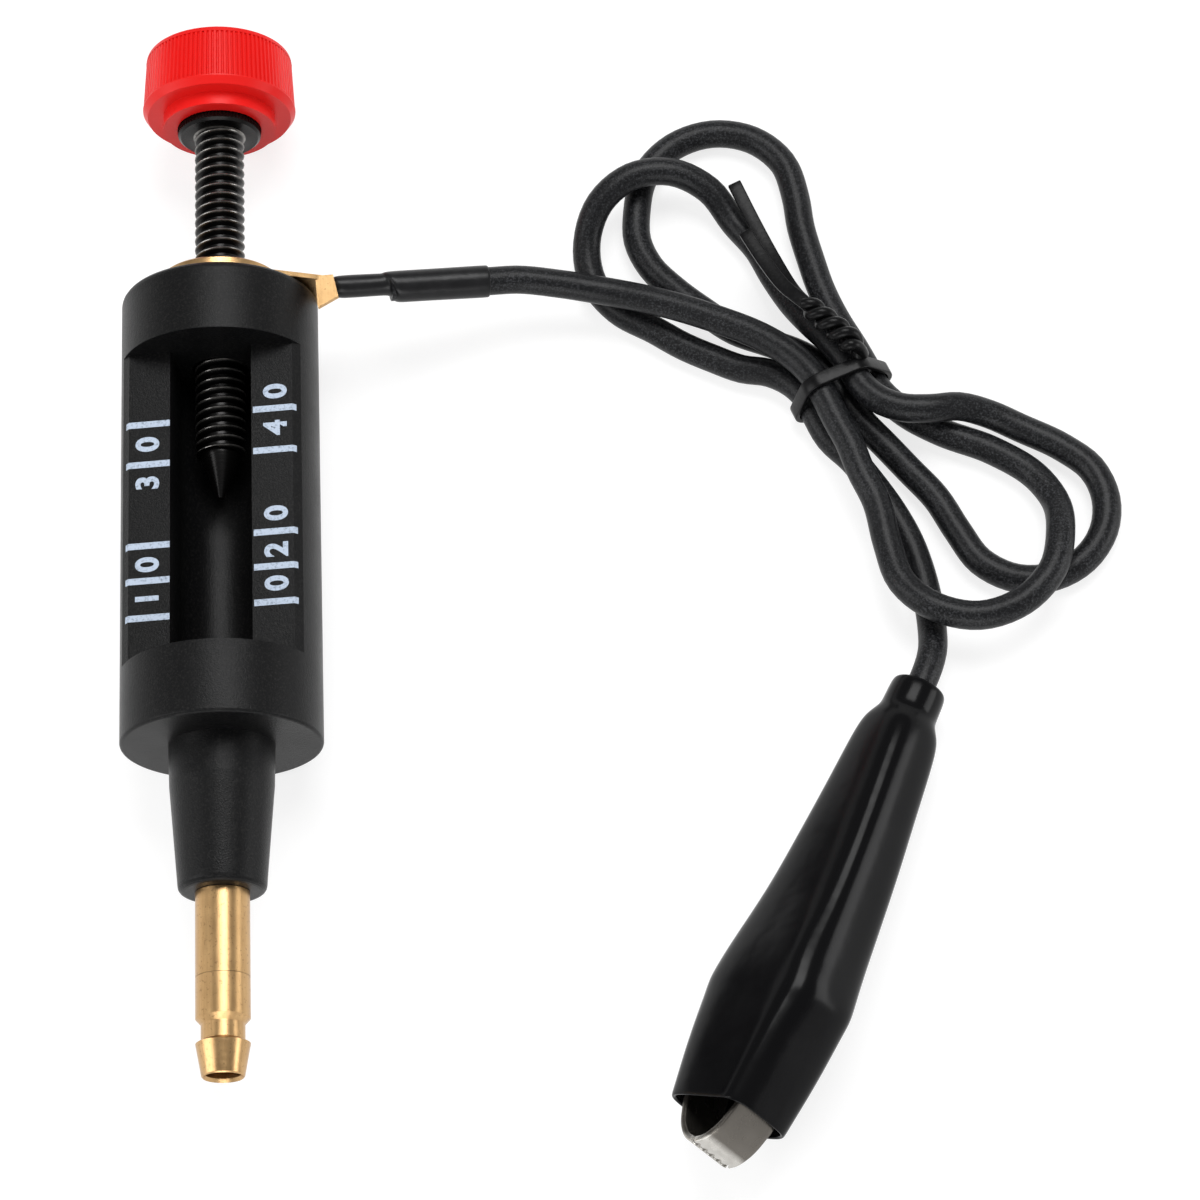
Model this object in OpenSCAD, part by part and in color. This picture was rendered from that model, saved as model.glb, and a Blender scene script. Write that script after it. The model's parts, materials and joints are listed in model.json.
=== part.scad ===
// Spark plug tester: a screw-adjusted spark gap in a moulded barrel, with a bundled lead and a booted clip.
// Millimetres, +Z up, lying on a table at z = 0. The barrel runs along Y, terminal at -Y and knob at +Y.

/* [Barrel] */
// Outer diameter of the barrel
barrel_d = 24; // [22:0.5:30]
// Length of the solid block at the knob end
head_block_l = 9; // [8.5:0.5:14]
// Length of the open window
window_l = 40; // [36:1:50]
// Length of the solid block at the terminal end
base_block_l = 9; // [8:0.5:14]
// Height of the window's flats above the barrel's axis
flat_h = 6; // [4:0.5:8]
// Width of the spark channel between the flats
channel_w = 10; // [8:0.5:12]
// Bevel along the outer edges of the flats
flat_bevel = 0.3; // [0.2:0.1:0.8]
// Rounding of the barrel's end edges
barrel_edge_r = 0.9; // [0.2:0.1:1.2]
// Rounding of the base's edge round the nozzle
base_edge_r = 0.4; // [0.2:0.1:1.2]

/* [Nozzle] */
// Length of the nozzle below the barrel
nozzle_l = 18; // [14:0.5:24]
// Diameter of the nozzle's straight root
nozzle_root_d = 12.6; // [12:0.2:15]
// Length of the nozzle's straight root
nozzle_root_l = 5; // [3:0.5:8]
// Diameter of the nozzle at its open end
nozzle_end_d = 10.4; // [9:0.2:11.8]
// Rounding of the nozzle's lip
nozzle_lip_r = 0.8; // [0.3:0.1:1.4]

/* [Terminal] */
// Diameter of the terminal, the standard size of a screw-on plug nut
terminal_d = 6.35; // [6:0.05:6.8]
// Diameter of the rod's seat inside the nozzle
rod_seat_d = 5.6; // [4.8:0.1:5.8]
// Length of rod that shows between the nozzle and the nut
rod_show = 10.3; // [6:0.1:14]
// Height of the fixed electrode above the window's floor
electrode_h = 3; // [2.5:0.1:4.5]
// Length of the fixed electrode's cone
electrode_cone_l = 2; // [1:0.1:2.4]
// Diameter of the flat on the fixed electrode's end
electrode_flat_d = 1.6; // [0.8:0.1:3]
// Diameter of the collar that the base block is moulded round
rod_collar_d = 9; // [8:0.5:11]
// Length of that collar
rod_collar_l = 3; // [2:0.5:4]
// Diameter of the rod's threaded stud
stud_d = 4; // [3:0.1:4.4]
// Length of the stud inside the nut
stud_l = 5.6; // [4:0.1:8]
// Length of the nut's plain body
nut_body_l = 4.8; // [3:0.1:7]
// Diameter of the nut's snap groove
nut_groove_d = 5.1; // [4.8:0.1:5.6]
// Length of the snap groove between its slopes
nut_groove_l = 1.9; // [1:0.1:3]
// Length of the slope from the body into the groove
nut_slope_l = 0.7; // [0.3:0.1:1.2]
// Length of the step from the groove to the barb
nut_step_l = 0.4; // [0.2:0.1:0.8]
// Length of the nut's tapered barb
nut_barb_l = 3.9; // [2.5:0.1:6]
// Diameter of the barb's end
nut_end_d = 5; // [4.8:0.1:5.8]

/* [Adjusting screw] */
// Distance between the electrode's end and the screw's point, as photographed
spark_gap = 19.65; // [19.4:0.05:24]
// Outer diameter of the screw's thread
screw_d = 6.2; // [5:0.1:6.4]
// Length of the screw under its head
screw_l = 49.45; // [46:0.05:60]
// Length of the ground point
screw_point_l = 5.6; // [3:0.1:8]
// Diameter of the point's root
screw_point_d = 4.8; // [4.4:0.1:5]
// Diameter of the flat on the point
screw_flat_d = 0.8; // [0.4:0.1:1.6]
// Diameter of the screw's head
screw_head_d = 10.4; // [8.5:0.1:11]
// Height of the screw's head
screw_head_h = 6.35; // [5:0.05:7.5]
// Width across the flats of the head's socket
socket_w = 4.8; // [3:0.1:5]
// Depth of the head's socket
socket_depth = 3; // [2:0.5:4]

/* [Knob] */
// Diameter of the knob over its ribs, at the rim towards the screw
knob_d = 19.1; // [17:0.1:24]
// Taper of the ribbed side: diameter at the top over diameter at the rim
knob_taper = 0.955; // [0.92:0.005:1]
// Height of the knob above its boss
knob_h = 8.15; // [6:0.05:10]
// Number of ribs round the rim
knob_ribs = 96; // [60:1:110]
// Depth of the grooves between the ribs
knob_rib_depth = 0.22; // [0.1:0.02:0.4]
// Width of the sloped edge between the knob's underside and its ribs
knob_slope_w = 0.6; // [0.3:0.05:1]
// Height of that sloped edge
knob_slope_h = 0.9; // [0.4:0.05:1.4]
// Height of the plain band above the ribs
knob_band_h = 0.7; // [0.6:0.1:1.6]
// Rounding of the knob's top edge
knob_edge_r = 0.4; // [0.3:0.1:0.6]
// Diameter of the boss on the knob's underside
knob_boss_d = 14; // [12:0.2:16]
// Height of that boss
knob_boss_h = 1.7; // [1:0.1:3]
// How far the screw's head stands out of the boss
head_show = 1.1; // [0.5:0.1:2]
// Diameter of the hole in the knob's top
knob_hole_d = 6.4; // [5.6:0.2:8]

/* [Bushing and tag] */
// Diameter of the bushing's flange
flange_d = 15.2; // [14:0.2:18]
// Thickness of the bushing's flange
flange_t = 2.1; // [1:0.1:3]
// Diameter of the bushing's shank
bushing_d = 11; // [9:0.2:13]
// Depth of the shank in the head block
bushing_l = 7.5; // [5:0.5:8]
// Thickness of the tag's sheet
tag_t = 0.6; // [0.4:0.1:1]
// Diameter of the tag's ring
tag_ring_d = 19; // [18:0.2:20]
// Direction of the tag's neck, in degrees above the horizontal
tag_turn = 6; // [0:1:12]
// How far the tip of the tag's neck stands out beyond the barrel
tag_out = 2.9; // [2.6:0.1:4]
// Width of the neck at its tip
tag_tip_w = 3.8; // [3:0.1:5]
// Length of the wing that is folded over the wire
tag_wing_l = 3.3; // [2:0.1:3.6]
// Width of that wing
tag_wing_w = 2.2; // [1.6:0.1:2.6]

/* [Lead] */
// Outer diameter of the lead
lead_d = 3.5; // [3:0.1:3.6]
// Diameter of the bared strands
strand_d = 1.3; // [1.2:0.1:2]
// Diameter of the shrunk sleeve's narrow part
shrink_neck_d = 2.9; // [2.7:0.1:3.2]
// Wall of the shrunk sleeve over the lead
shrink_wall = 0.2; // [0.15:0.01:0.3]
// Length of the sleeve's narrow part, over the strands
shrink_neck_l = 6; // [4:0.2:7]
// Length of the sleeve's wide part, over the lead
shrink_body_l = 12.2; // [8:0.2:14]
// Thickness of the wire tie
tie_t = 0.7; // [0.5:0.1:0.9]
// Width of the wire tie
tie_w = 1.7; // [1:0.1:2]
// Turns in the tie's twisted end
tie_turns = 3; // [1.5:0.5:4]

/* [Clip] */
// Distance from the pivot to the tip of the nose
jaw_l = 18.5; // [17:0.5:22]
// Width of the jaws
jaw_w = 6.2; // [5:0.1:7]
// Thickness of the jaws' sheet
jaw_t = 0.6; // [0.4:0.05:0.8]
// Gap between the closed jaws' teeth
jaw_gap = 0.4; // [0.3:0.05:0.8]
// Height of each jaw beside the pivot
jaw_h = 6.4; // [5.5:0.1:7]
// Height of each jaw at the boot's mouth
jaw_mouth_h = 4.1; // [3.4:0.1:4.6]
// Number of teeth across each nose
jaw_teeth = 5; // [3:1:7]
// Depth of the teeth
tooth_depth = 0.5; // [0.3:0.05:0.8]
// Length of the thumb lever behind the pivot
lever_l = 24; // [18:0.5:26]
// Height of each lever at its end
lever_h = 3.8; // [3.4:0.1:4.6]
// Length of the crimp round the strands
crimp_l = 5.5; // [4:0.5:6]
// Diameter of the pivot pin
pivot_d = 2.2; // [1.6:0.1:2.6]
// Diameter of the spring's wire
spring_wire_d = 0.6; // [0.4:0.05:0.65]
// Turns in the spring
spring_turns = 3; // [2:1:3]
// Wall of the clip's boot
boot_wall = 0.9; // [0.6:0.1:1.2]
// Room between the clip and its boot
boot_room = 0.5; // [0.4:0.1:1]
// Length of the boot behind the pivot
boot_back_l = 43.5; // [42:0.5:50]
// Length of the boot before the pivot
boot_front_l = 14; // [12:0.5:15.5]
// Diameter of the boot's collar
collar_d = 6.7; // [5.6:0.1:8]
// Length of the boot's collar
collar_l = 3.6; // [2:0.2:5]

/* [Fits] */
// Gap between parts that are fixed together
fixed_gap = 0.05; // [0.02:0.01:0.1]
// Radial clearance of the screw's thread and the pivot pin
running_gap = 0.05; // [0.02:0.01:0.1]
// Clearance between the lead's own strands
lead_gap = 0.6; // [0.5:0.02:0.7]

/* [Hidden] */
$fn = 64;

// Places along the barrel's axis, from the terminal's tip up, with the whole tester centred on y = 0
nut_l = nut_body_l + nut_slope_l + nut_groove_l + nut_step_l + nut_barb_l;
terminal_show = rod_show + nut_l;
screw_top = electrode_h + spark_gap + screw_l + head_show;
knob_top = terminal_show + nozzle_l + base_block_l + screw_top + knob_boss_h + knob_h;
y_tip = -knob_top / 2;
y_nut = y_tip + nut_l;
y_nozzle = y_tip + terminal_show;
y_base = y_nozzle + nozzle_l;
y_floor = y_base + base_block_l;
y_roof = y_floor + window_l;
y_head = y_roof + head_block_l;
y_electrode = y_floor + electrode_h;
y_point = y_electrode + spark_gap;
y_screw_head = y_point + screw_l;
y_boss = y_screw_head + head_show;
y_rim = y_boss + knob_boss_h;
y_knob = y_rim + knob_h;
axis_z = barrel_d / 2;
rod_r = terminal_d / 2;
screw_r = screw_d / 2;
lead_r = lead_d / 2;
tag_reach = barrel_d / 2 + tag_out;
strand_r = strand_d / 2;

// The wire's grip on the tag, and the straight line of the sleeve from there to where the lead bends away
grip_r = tag_reach - tag_wing_w / 2;
grip_rise = tag_tip_w / 2 - strand_r - 3 * fixed_gap;
grip = [grip_r * cos(tag_turn), y_head - strand_r - 3 * fixed_gap, axis_z + grip_r * sin(tag_turn) + grip_rise];
sleeve_aim = [33.34, 33.26, 9.2];
sleeve_dir = unit(sleeve_aim - grip);
sleeve_start = grip + (tag_wing_w / 2 + 0.8) * sleeve_dir;
lead_start = sleeve_start + shrink_neck_l * sleeve_dir;
sleeve_end = lead_start + shrink_body_l * sleeve_dir;

// The clip's pivot on the table, and the way it points: heading, tilt of its nose and roll about its length
clip_pivot = [63, -61.5, 8.5];
clip_heading = -116;
clip_tilt = 5.5;
clip_roll = 40;
clip_dir = [cos(clip_tilt) * cos(clip_heading), cos(clip_tilt) * sin(clip_heading), sin(clip_tilt)];
collar = clip_pivot - boot_back_l * clip_dir;
strip_l = 7.5;
jacket_end = collar + strip_l * clip_dir;

// The waist of the bundle, where the tie draws five runs of the lead together: three below and two above
waist = [75.2, 17.4];
waist_turn = 22;
waist_half = 1.2;
run_pitch = lead_d + lead_gap;
low_z = tie_t + fixed_gap + lead_r;
RUNS = [for (u = [-run_pitch, 0, run_pitch]) [u, low_z],
    [-2.6, low_z + 0.97 * run_pitch], [1.95, low_z + 0.87 * run_pitch]];
OUT = 0;
CROSS = 1;
BACK = 2;
FIRST = 3;
OVER = 4;
side_dir = [cos(waist_turn), sin(waist_turn), 0];
down_dir = [sin(waist_turn), -cos(waist_turn), 0];

// A place in the waist: which run, and how far along it towards the clip
function at_waist(run, along) = [waist.x, waist.y, RUNS[run].y] + RUNS[run].x * side_dir + along * down_dir;
function down_waist(run) = [at_waist(run, -waist_half), at_waist(run, waist_half)];
function up_waist(run) = [at_waist(run, waist_half), at_waist(run, -waist_half)];

// A bight: the round end of a loop, anticlockwise from one angle to another, with a height for each point
function bight(centre, radius, from, to, heights) = [for (i = [0:len(heights) - 1])
    let (a = from + (to - from) * i / (len(heights) - 1))
    [centre.x + radius * cos(a), centre.y + radius * sin(a), heights[i]]];

// The lead's route: out of the sleeve, round four loops that cross at the waist, and out to the clip
FLAT = lead_r + fixed_gap;
ROUTE = concat(
    [lead_start + fixed_gap * sleeve_dir, lead_start + shrink_body_l / 2 * sleeve_dir, sleeve_end,
        sleeve_end + lead_d * sleeve_dir],
    [[41.5, 33, 6.3], [46.5, 32.3, 5.9], [53.4, 30.2, 5.8], [60.2, 27.3, 5.8],
        [66.6, 23.7, 6], [70, 20.8, 6.2]],
    down_waist(FIRST),
    [[74.6, 11.8, 6.2], [75.8, 9, 6.2], [76.9, 5.4, 5.9], [78.6, 1, 5.7]],
    bight([89.8, -4.4], 10.3, 180, 360, [5.5, 5.9, 6.4, 6.1, 6.2, 6, 5]),
    [[99.8, 0.8, 2.7], [97.8, 4.4, 1.9], [93, 8.2, FLAT], [86.7, 11.4, FLAT], [82.8, 14.1, 1.9]],
    up_waist(BACK),
    [[77.1, 23.6, 2], [75.3, 27.4, FLAT], [73.7, 31.6, FLAT], [72.5, 36.4, FLAT], [71.6, 40.8, FLAT]],
    bight([61.2, 45], 10, 0, 180, [for (i = [0:6]) FLAT]),
    [[51.1, 40.8, FLAT], [52.6, 37, FLAT], [55.4, 33.6, FLAT], [59, 30.2, FLAT], [62.6, 27.2, FLAT],
        [66.7, 25.2, FLAT], [70.6, 23.2, 1.8], [73.2, 20.8, 2.3]],
    down_waist(CROSS),
    [[77.6, 13.2, 2.1], [80, 10.2, FLAT], [82.7, 6.6, FLAT], [85.7, 2.6, FLAT],
        [88, -2, FLAT], [90.4, -6.1, FLAT]],
    bight([97, 0], 9, 255, 420, [for (i = [0:6]) FLAT]),
    [[96.4, 10.9, 2], [92.9, 12.6, 2.9], [89.3, 13.2, 4.6], [85.8, 12.7, 5.8],
        [82.3, 13.1, 6], [79.3, 14.7, 6.1]],
    up_waist(OVER),
    [[74.4, 22.9, 5.5], [72, 26.5, 4], [69.9, 30, 2.6], [67.9, 34, 1.9], [66, 38.2, 1.9]],
    bight([54.3, 38.8], 9.6, 20, 230, [1.9, 3.6, 5.3, 5.8, 5.1, 3.2, 2.2, 1.8]),
    [[52.7, 28.2, 1.9], [56.2, 25.7, FLAT], [59.7, 23.7, FLAT], [63.2, 21.9, 1.9],
        [66.6, 20.9, 2.2], [69.3, 19.1, 2.4]],
    down_waist(OUT),
    [[73.3, 11.6, 2], [75.9, 8.6, FLAT], [78.2, 5.1, FLAT], [80.4, 1.2, FLAT],
        [82.1, -2.8, FLAT], [83.2, -7, FLAT],
        [83.8, -11, 1.9], [84, -14.5, 2.2], [83.8, -17.8, 3.4]],
    [collar - lead_r * clip_dir, collar, jacket_end]);

// Vectors and curves
function unit(v) = v / norm(v);
function slope(p, i) = i == 0 ? unit(p[1] - p[0])
    : i == len(p) - 1 ? unit(p[i] - p[i - 1])
    : let (a = norm(p[i] - p[i - 1]), b = norm(p[i + 1] - p[i]))
      ((p[i] - p[i - 1]) * b / a + (p[i + 1] - p[i]) * a / b) / (a + b);
function on_curve(p, i, t) = let (l = norm(p[i + 1] - p[i]))
    p[i] * (1 + 2 * t) * (1 - t) * (1 - t) + slope(p, i) * l * t * (1 - t) * (1 - t)
    + p[i + 1] * t * t * (3 - 2 * t) + slope(p, i + 1) * l * t * t * (t - 1);
// A smooth curve through the points, in steps of about the given length
function curve(p, step) = concat(
    [for (i = [0:len(p) - 2]) let (n = max(1, round(norm(p[i + 1] - p[i]) / step)))
        for (k = [0:n - 1]) on_curve(p, i, k / n)],
    [p[len(p) - 1]]);
function length(p) = [for (i = [1:len(p) - 1]) norm(p[i] - p[i - 1])] * [for (i = [1:len(p) - 1]) 1];
// The least distance between two points of a curve that are more than the given count of points apart
function least_gap(p, apart) = min([for (i = [0:len(p) - 1 - apart])
    for (j = [i + apart:len(p) - 1]) norm(p[i] - p[j])]);

// A closed tube of any section along a path that never runs straight up
module sweep(path, section) {
    n = len(section);
    last = len(path) - 1;
    points = [for (i = [0:last])
        let (t = unit(path[min(i + 1, last)] - path[max(i - 1, 0)]))
        let (side = unit(cross([0, 0, 1], t)))
        let (up = cross(t, side))
        for (s = section) path[i] + s.x * side + s.y * up];
    walls = [for (i = [0:last - 1]) for (k = [0:n - 1]) let (a = i * n + k, b = i * n + (k + 1) % n)
        each [[a, b, a + n], [b, b + n, a + n]]];
    ends = [for (k = [1:n - 2]) each [[0, k + 1, k], [last * n, last * n + k, last * n + k + 1]]];
    polyhedron(points, [for (f = concat(walls, ends)) [f[2], f[1], f[0]]]);
}
function flat_section(w, t) = [[w, -t] / 2, [w, t] / 2, [-w, t] / 2, [-w, -t] / 2];
function round_section(d, sides) = [for (k = [0:sides - 1]) let (a = 360 * k / sides) d / 2 * [cos(a), sin(a)]];

// Places its children on the barrel's axis with their own z along +Y
module on_axis(y) {
    translate([0, y, axis_z]) rotate([-90, 0, 0]) children();
}
// Turns a profile of [radius, y] points round the barrel's axis
module turned(profile) {
    on_axis(0) rotate_extrude() polygon(profile);
}
// Places its children at a point with their own z along a direction
module aimed(place, dir) {
    translate(place) rotate([0, acos(dir.z), atan2(dir.y, dir.x)]) children();
}
// A quarter round from one angle to another, as profile points
function corner(centre, radius, from, to) = [for (i = [0:4]) let (a = from + (to - from) * i / 4)
    centre + radius * [cos(a), sin(a)]];

module barrel() {
    r = barrel_d / 2;
    root_r = nozzle_root_d / 2;
    end_r = nozzle_end_d / 2;
    e = barrel_edge_r;
    lip = nozzle_lip_r;
    color("#1b1b1d") difference() {
        turned(concat(
            [[0, y_nozzle]],
            corner([end_r - lip, y_nozzle + lip], lip, -90, 0),
            [[root_r - 0.12, y_base - nozzle_root_l], [root_r, y_base]],
            corner([r - base_edge_r, y_base + base_edge_r], base_edge_r, -90, 0),
            corner([r - e, y_head - e], e, 0, 90),
            [[0, y_head]]));
        window_cut();
        on_axis(y_floor) cylinder(d = channel_w, h = window_l);
        on_axis(y_roof - 1) cylinder(r = screw_r + 4 * running_gap + 0.1, h = head_block_l + 2);
        on_axis(y_head - bushing_l - fixed_gap) cylinder(d = bushing_d + 2 * fixed_gap, h = bushing_l + 1);
        on_axis(y_nozzle - 1) cylinder(d = rod_seat_d + 2 * fixed_gap, h = y_collar - y_nozzle + 2);
        on_axis(y_collar + 1) cylinder(r = rod_r + fixed_gap, h = y_floor - y_collar);
        on_axis(y_collar - fixed_gap)
            cylinder(d = rod_collar_d + 2 * fixed_gap, h = rod_collar_l + 2 * fixed_gap);
    }
}
y_collar = y_base + (base_block_l - rod_collar_l) / 2;

// The window's cut: both flats with their outer edges bevelled, and the straight upper sides of the channel
module window_cut() {
    out = barrel_d / 2 + 1;
    edge = sqrt(pow(barrel_d / 2, 2) - pow(flat_h, 2)) - sqrt(2) * flat_bevel;
    side = channel_w / 2 - 0.05;
    translate([0, y_roof, axis_z]) rotate([90, 0, 0]) linear_extrude(window_l) polygon([
        [side, 0], [side, flat_h], [edge, flat_h], [out, flat_h + edge - out], [out, barrel_d],
        [-out, barrel_d], [-out, flat_h + edge - out], [-edge, flat_h], [-side, flat_h], [-side, 0]]);
}
module bushing() {
    y0 = y_head - bushing_l;
    y1 = y_head + tag_t + 2 * fixed_gap;
    bore = screw_r + running_gap;
    color("#b98c4a") turned([[bore, y0], [bushing_d / 2, y0], [bushing_d / 2, y1], [flange_d / 2, y1],
        [flange_d / 2, y1 + flange_t - 0.2], [flange_d / 2 - 0.2, y1 + flange_t], [bore, y1 + flange_t]]);
}

module terminal_rod() {
    stud_r = stud_d / 2;
    collar_r = rod_collar_d / 2;
    color("#c2924c") turned([[0, y_nut - stud_l], [stud_r - 0.4, y_nut - stud_l], [stud_r, y_nut - stud_l + 0.4],
        [stud_r, y_nut + fixed_gap], [rod_r, y_nut + fixed_gap], [rod_r, y_nozzle - fixed_gap],
        [rod_seat_d / 2, y_nozzle - fixed_gap], [rod_seat_d / 2, y_collar], [collar_r, y_collar],
        [collar_r, y_collar + rod_collar_l], [rod_r, y_collar + rod_collar_l],
        [rod_r, y_electrode - electrode_cone_l], [electrode_flat_d / 2, y_electrode], [0, y_electrode]]);
}

module terminal_nut() {
    bore = stud_d / 2 + fixed_gap;
    groove = nut_groove_d / 2;
    y_barb = y_tip + nut_barb_l;
    y_groove = y_barb + nut_step_l;
    y_slope = y_groove + nut_groove_l;
    color("#c2924c") turned([[bore, y_tip + 0.4], [bore + 0.3, y_tip], [nut_end_d / 2 - 0.15, y_tip],
        [nut_end_d / 2, y_tip + 0.15], [rod_r, y_barb], [groove, y_groove], [groove, y_slope],
        [rod_r, y_slope + nut_slope_l], [rod_r, y_nut], [bore, y_nut]]);
}

module adjusting_screw() {
    head_r = screw_head_d / 2;
    point_r = screw_point_d / 2;
    y_end = y_screw_head + screw_head_h;
    color("#2a2b2d") difference() {
        turned([[0, y_point], [screw_flat_d / 2, y_point], [point_r, y_point + screw_point_l],
            [screw_r, y_point + screw_point_l + screw_r - point_r], [screw_r, y_screw_head],
            [head_r - 0.4, y_screw_head], [head_r, y_screw_head + 0.4], [head_r, y_end - 0.4],
            [head_r - 0.4, y_end], [0, y_end]]);
        on_axis(y_end - socket_depth) cylinder(d = socket_w / cos(30), h = socket_depth + 1, $fn = 6);
    }
}

// The ribbed rim's outline: a shallow groove after every rib
module rib_outline(top) {
    low = top - knob_rib_depth;
    pitch = 360 / knob_ribs;
    polygon([for (i = [0:knob_ribs - 1]) each [
        top * [cos(pitch * i), sin(pitch * i)],
        top * [cos(pitch * (i + 0.4)), sin(pitch * (i + 0.4))],
        low * [cos(pitch * (i + 0.6)), sin(pitch * (i + 0.6))],
        low * [cos(pitch * (i + 0.8)), sin(pitch * (i + 0.8))]]]);
}
module knob() {
    e = knob_edge_r;
    rim_r = knob_d / 2;
    top_r = rim_r * knob_taper;
    low_y = y_rim + knob_slope_h + 0.15;
    high_y = y_knob - knob_band_h;
    lean = (rim_r - top_r) / (y_knob - low_y);
    high_r = rim_r - lean * (high_y - low_y);
    root = 2 * knob_rib_depth;
    sunk = 0.1;
    y_seat = y_screw_head + screw_head_h + fixed_gap;
    color("#d8211d") difference() {
        union() {
            on_axis(low_y - sunk) linear_extrude(high_y - low_y + 2 * sunk, scale = high_r / rim_r)
                rib_outline(rim_r - 0.04);
            turned(concat([[0, y_rim], [rim_r - knob_slope_w, y_rim], [rim_r, y_rim + knob_slope_h],
                [rim_r, low_y], [rim_r - root, low_y], [high_r - root, high_y], [high_r, high_y]],
                corner([top_r - e, y_knob - e], e, 0, 90), [[0, y_knob]]));
            on_axis(y_boss) cylinder(d = knob_boss_d, h = knob_boss_h + 1);
        }
        on_axis(y_boss - 1) cylinder(d = screw_head_d + 2 * running_gap, h = y_seat - y_boss + 1);
        on_axis(y_boss) cylinder(d = knob_hole_d, h = y_knob - y_boss + 1);
    }
}

module lead_tag() {
    ring_r = tag_ring_d / 2;
    lean = acos((ring_r - tag_tip_w / 2) / tag_reach);
    touch = (ring_r - 0.1) * [cos(lean), sin(lean)];
    wing_z = grip.z + strand_r + tag_wing_w / 2 * abs(sleeve_dir.z) + 2 * fixed_gap;
    color("#c49a55") {
        on_axis(y_head + fixed_gap) rotate(-tag_turn) {
            linear_extrude(tag_t) difference() {
                union() {
                    circle(r = ring_r);
                    polygon([touch, [tag_reach, tag_tip_w / 2], [tag_reach, -tag_tip_w / 2],
                        [touch.x, -touch.y], [0, 0]]);
                }
                circle(d = bushing_d + 2 * fixed_gap);
            }
        }
        translate([grip.x - tag_wing_w / 2, y_head + fixed_gap + 0.8 * tag_t, wing_z]) linear_extrude(tag_t)
            polygon([[0, 0], [tag_wing_w, 0], [tag_wing_w + 0.6, -0.9 * tag_wing_l], [0.3, -1.3 * tag_wing_l]]);
    }
}

// The bared wire, from under the tag's wing to the lead's jacket
module tag_strands() {
    back = tag_wing_w / 2;
    color("#c98a4f") aimed(grip - back * sleeve_dir, sleeve_dir)
        cylinder(r = strand_r, h = norm(lead_start - grip) + back - fixed_gap);
}

module shrink_sleeve() {
    neck_in = strand_r + fixed_gap;
    neck_out = shrink_neck_d / 2;
    body_in = lead_r + fixed_gap;
    body_out = body_in + shrink_wall;
    step = shrink_neck_l;
    color("#202022") aimed(sleeve_start, sleeve_dir) rotate_extrude()
        polygon([[neck_in, 0], [neck_out, 0], [neck_out, step - 1.2], [body_out, step],
            [body_out, step + shrink_body_l], [body_in, step + shrink_body_l], [body_in, step], [neck_in, step]]);
}

module lead() {
    path = curve(ROUTE, 4);
    fine = curve(ROUTE, 1.2);
    echo(lead_length = length(fine), lead_least_gap = least_gap(fine, 12) - lead_d);
    color("#26272a") sweep(path, round_section(lead_d, 8));
}

// The outline of the five runs at the waist, drawn round them at the given distance
module waist_outline(grow) {
    hull() for (run = RUNS) translate(run) circle(r = lead_r + grow, $fn = 20);
}
module wire_tie() {
    strap = tie_t * 0.9;
    twist_start = at_waist(OVER, 0) + [1, 1.3, lead_r + fixed_gap + tie_t + 1.3];
    twist_end = [71.9, 26.4, 9.3];
    twist_dir = unit(twist_end - twist_start);
    long_tail = [twist_end - twist_dir, twist_end, [70.4, 29.4, 7], [68.2, 34.6, 5.6], [66, 40.1, 5.2],
        [63.8, 45.9, 5.2]];
    short_tail = [twist_end - twist_dir, twist_end, [69.3, 29.4, 8.6], [67.2, 33.1, 8], [64.9, 37.8, 7.6]];
    color("#161617") {
        translate([waist.x, waist.y, 0]) rotate([90, 0, waist_turn]) linear_extrude(tie_w, center = true)
            difference() {
                waist_outline(fixed_gap + tie_t);
                waist_outline(fixed_gap);
            }
        aimed(twist_start, twist_dir)
            linear_extrude(norm(twist_end - twist_start), twist = 360 * tie_turns, slices = 30)
            square([2 * tie_w - 0.2, 2 * strap], center = true);
        for (tail = [long_tail, short_tail]) sweep(curve(tail, 2.5), flat_section(tie_w, strap));
    }
}

// Places its children in the clip's own frame: x towards the nose, y the way the jaws open, z along the pivot
module on_clip() {
    translate(clip_pivot) rotate([clip_roll, -clip_tilt, clip_heading]) children();
}
// A strip of sheet along a line of points, as an outline
module strip(line, t) {
    last = len(line) - 1;
    out = [for (i = [0:last]) let (d = unit(line[min(i + 1, last)] - line[max(i - 1, 0)])) t / 2 * [-d.y, d.x]];
    polygon(concat([for (i = [0:last]) line[i] + out[i]], [for (i = [last:-1:0]) line[i] - out[i]]));
}
// The line of the nose, from the pivot to the teeth, above the clip's middle
function nose_line() = [[0, jaw_h], [jaw_l * 0.42, jaw_h * 0.86], [boot_front_l, jaw_mouth_h],
    [jaw_l - 1.5, jaw_mouth_h * 0.62], [jaw_l - 0.35, jaw_mouth_h * 0.3], [jaw_l, jaw_gap / 2]];
function lever_line() = [[-lever_l, lever_h], [-lever_l * 0.6, lever_h + (jaw_h - lever_h) * 0.4],
    [-lever_l * 0.25, jaw_h * 0.96]];
// A jaw seen from above: full width at the pivot and the nose, narrowing along the lever to the crimp
module jaw_plan() {
    last = len(JAW_PLAN) - 1;
    polygon(concat(JAW_PLAN, [for (i = [last:-1:0]) [JAW_PLAN[i].x, -JAW_PLAN[i].y]]));
}
JAW_PLAN = [[-boot_back_l, strand_r], [-lever_l - 4, strand_r + 0.3], [-lever_l, jaw_w * 0.32],
    [-lever_l * 0.2, jaw_w / 2], [jaw_l + 1, jaw_w / 2]];
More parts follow.
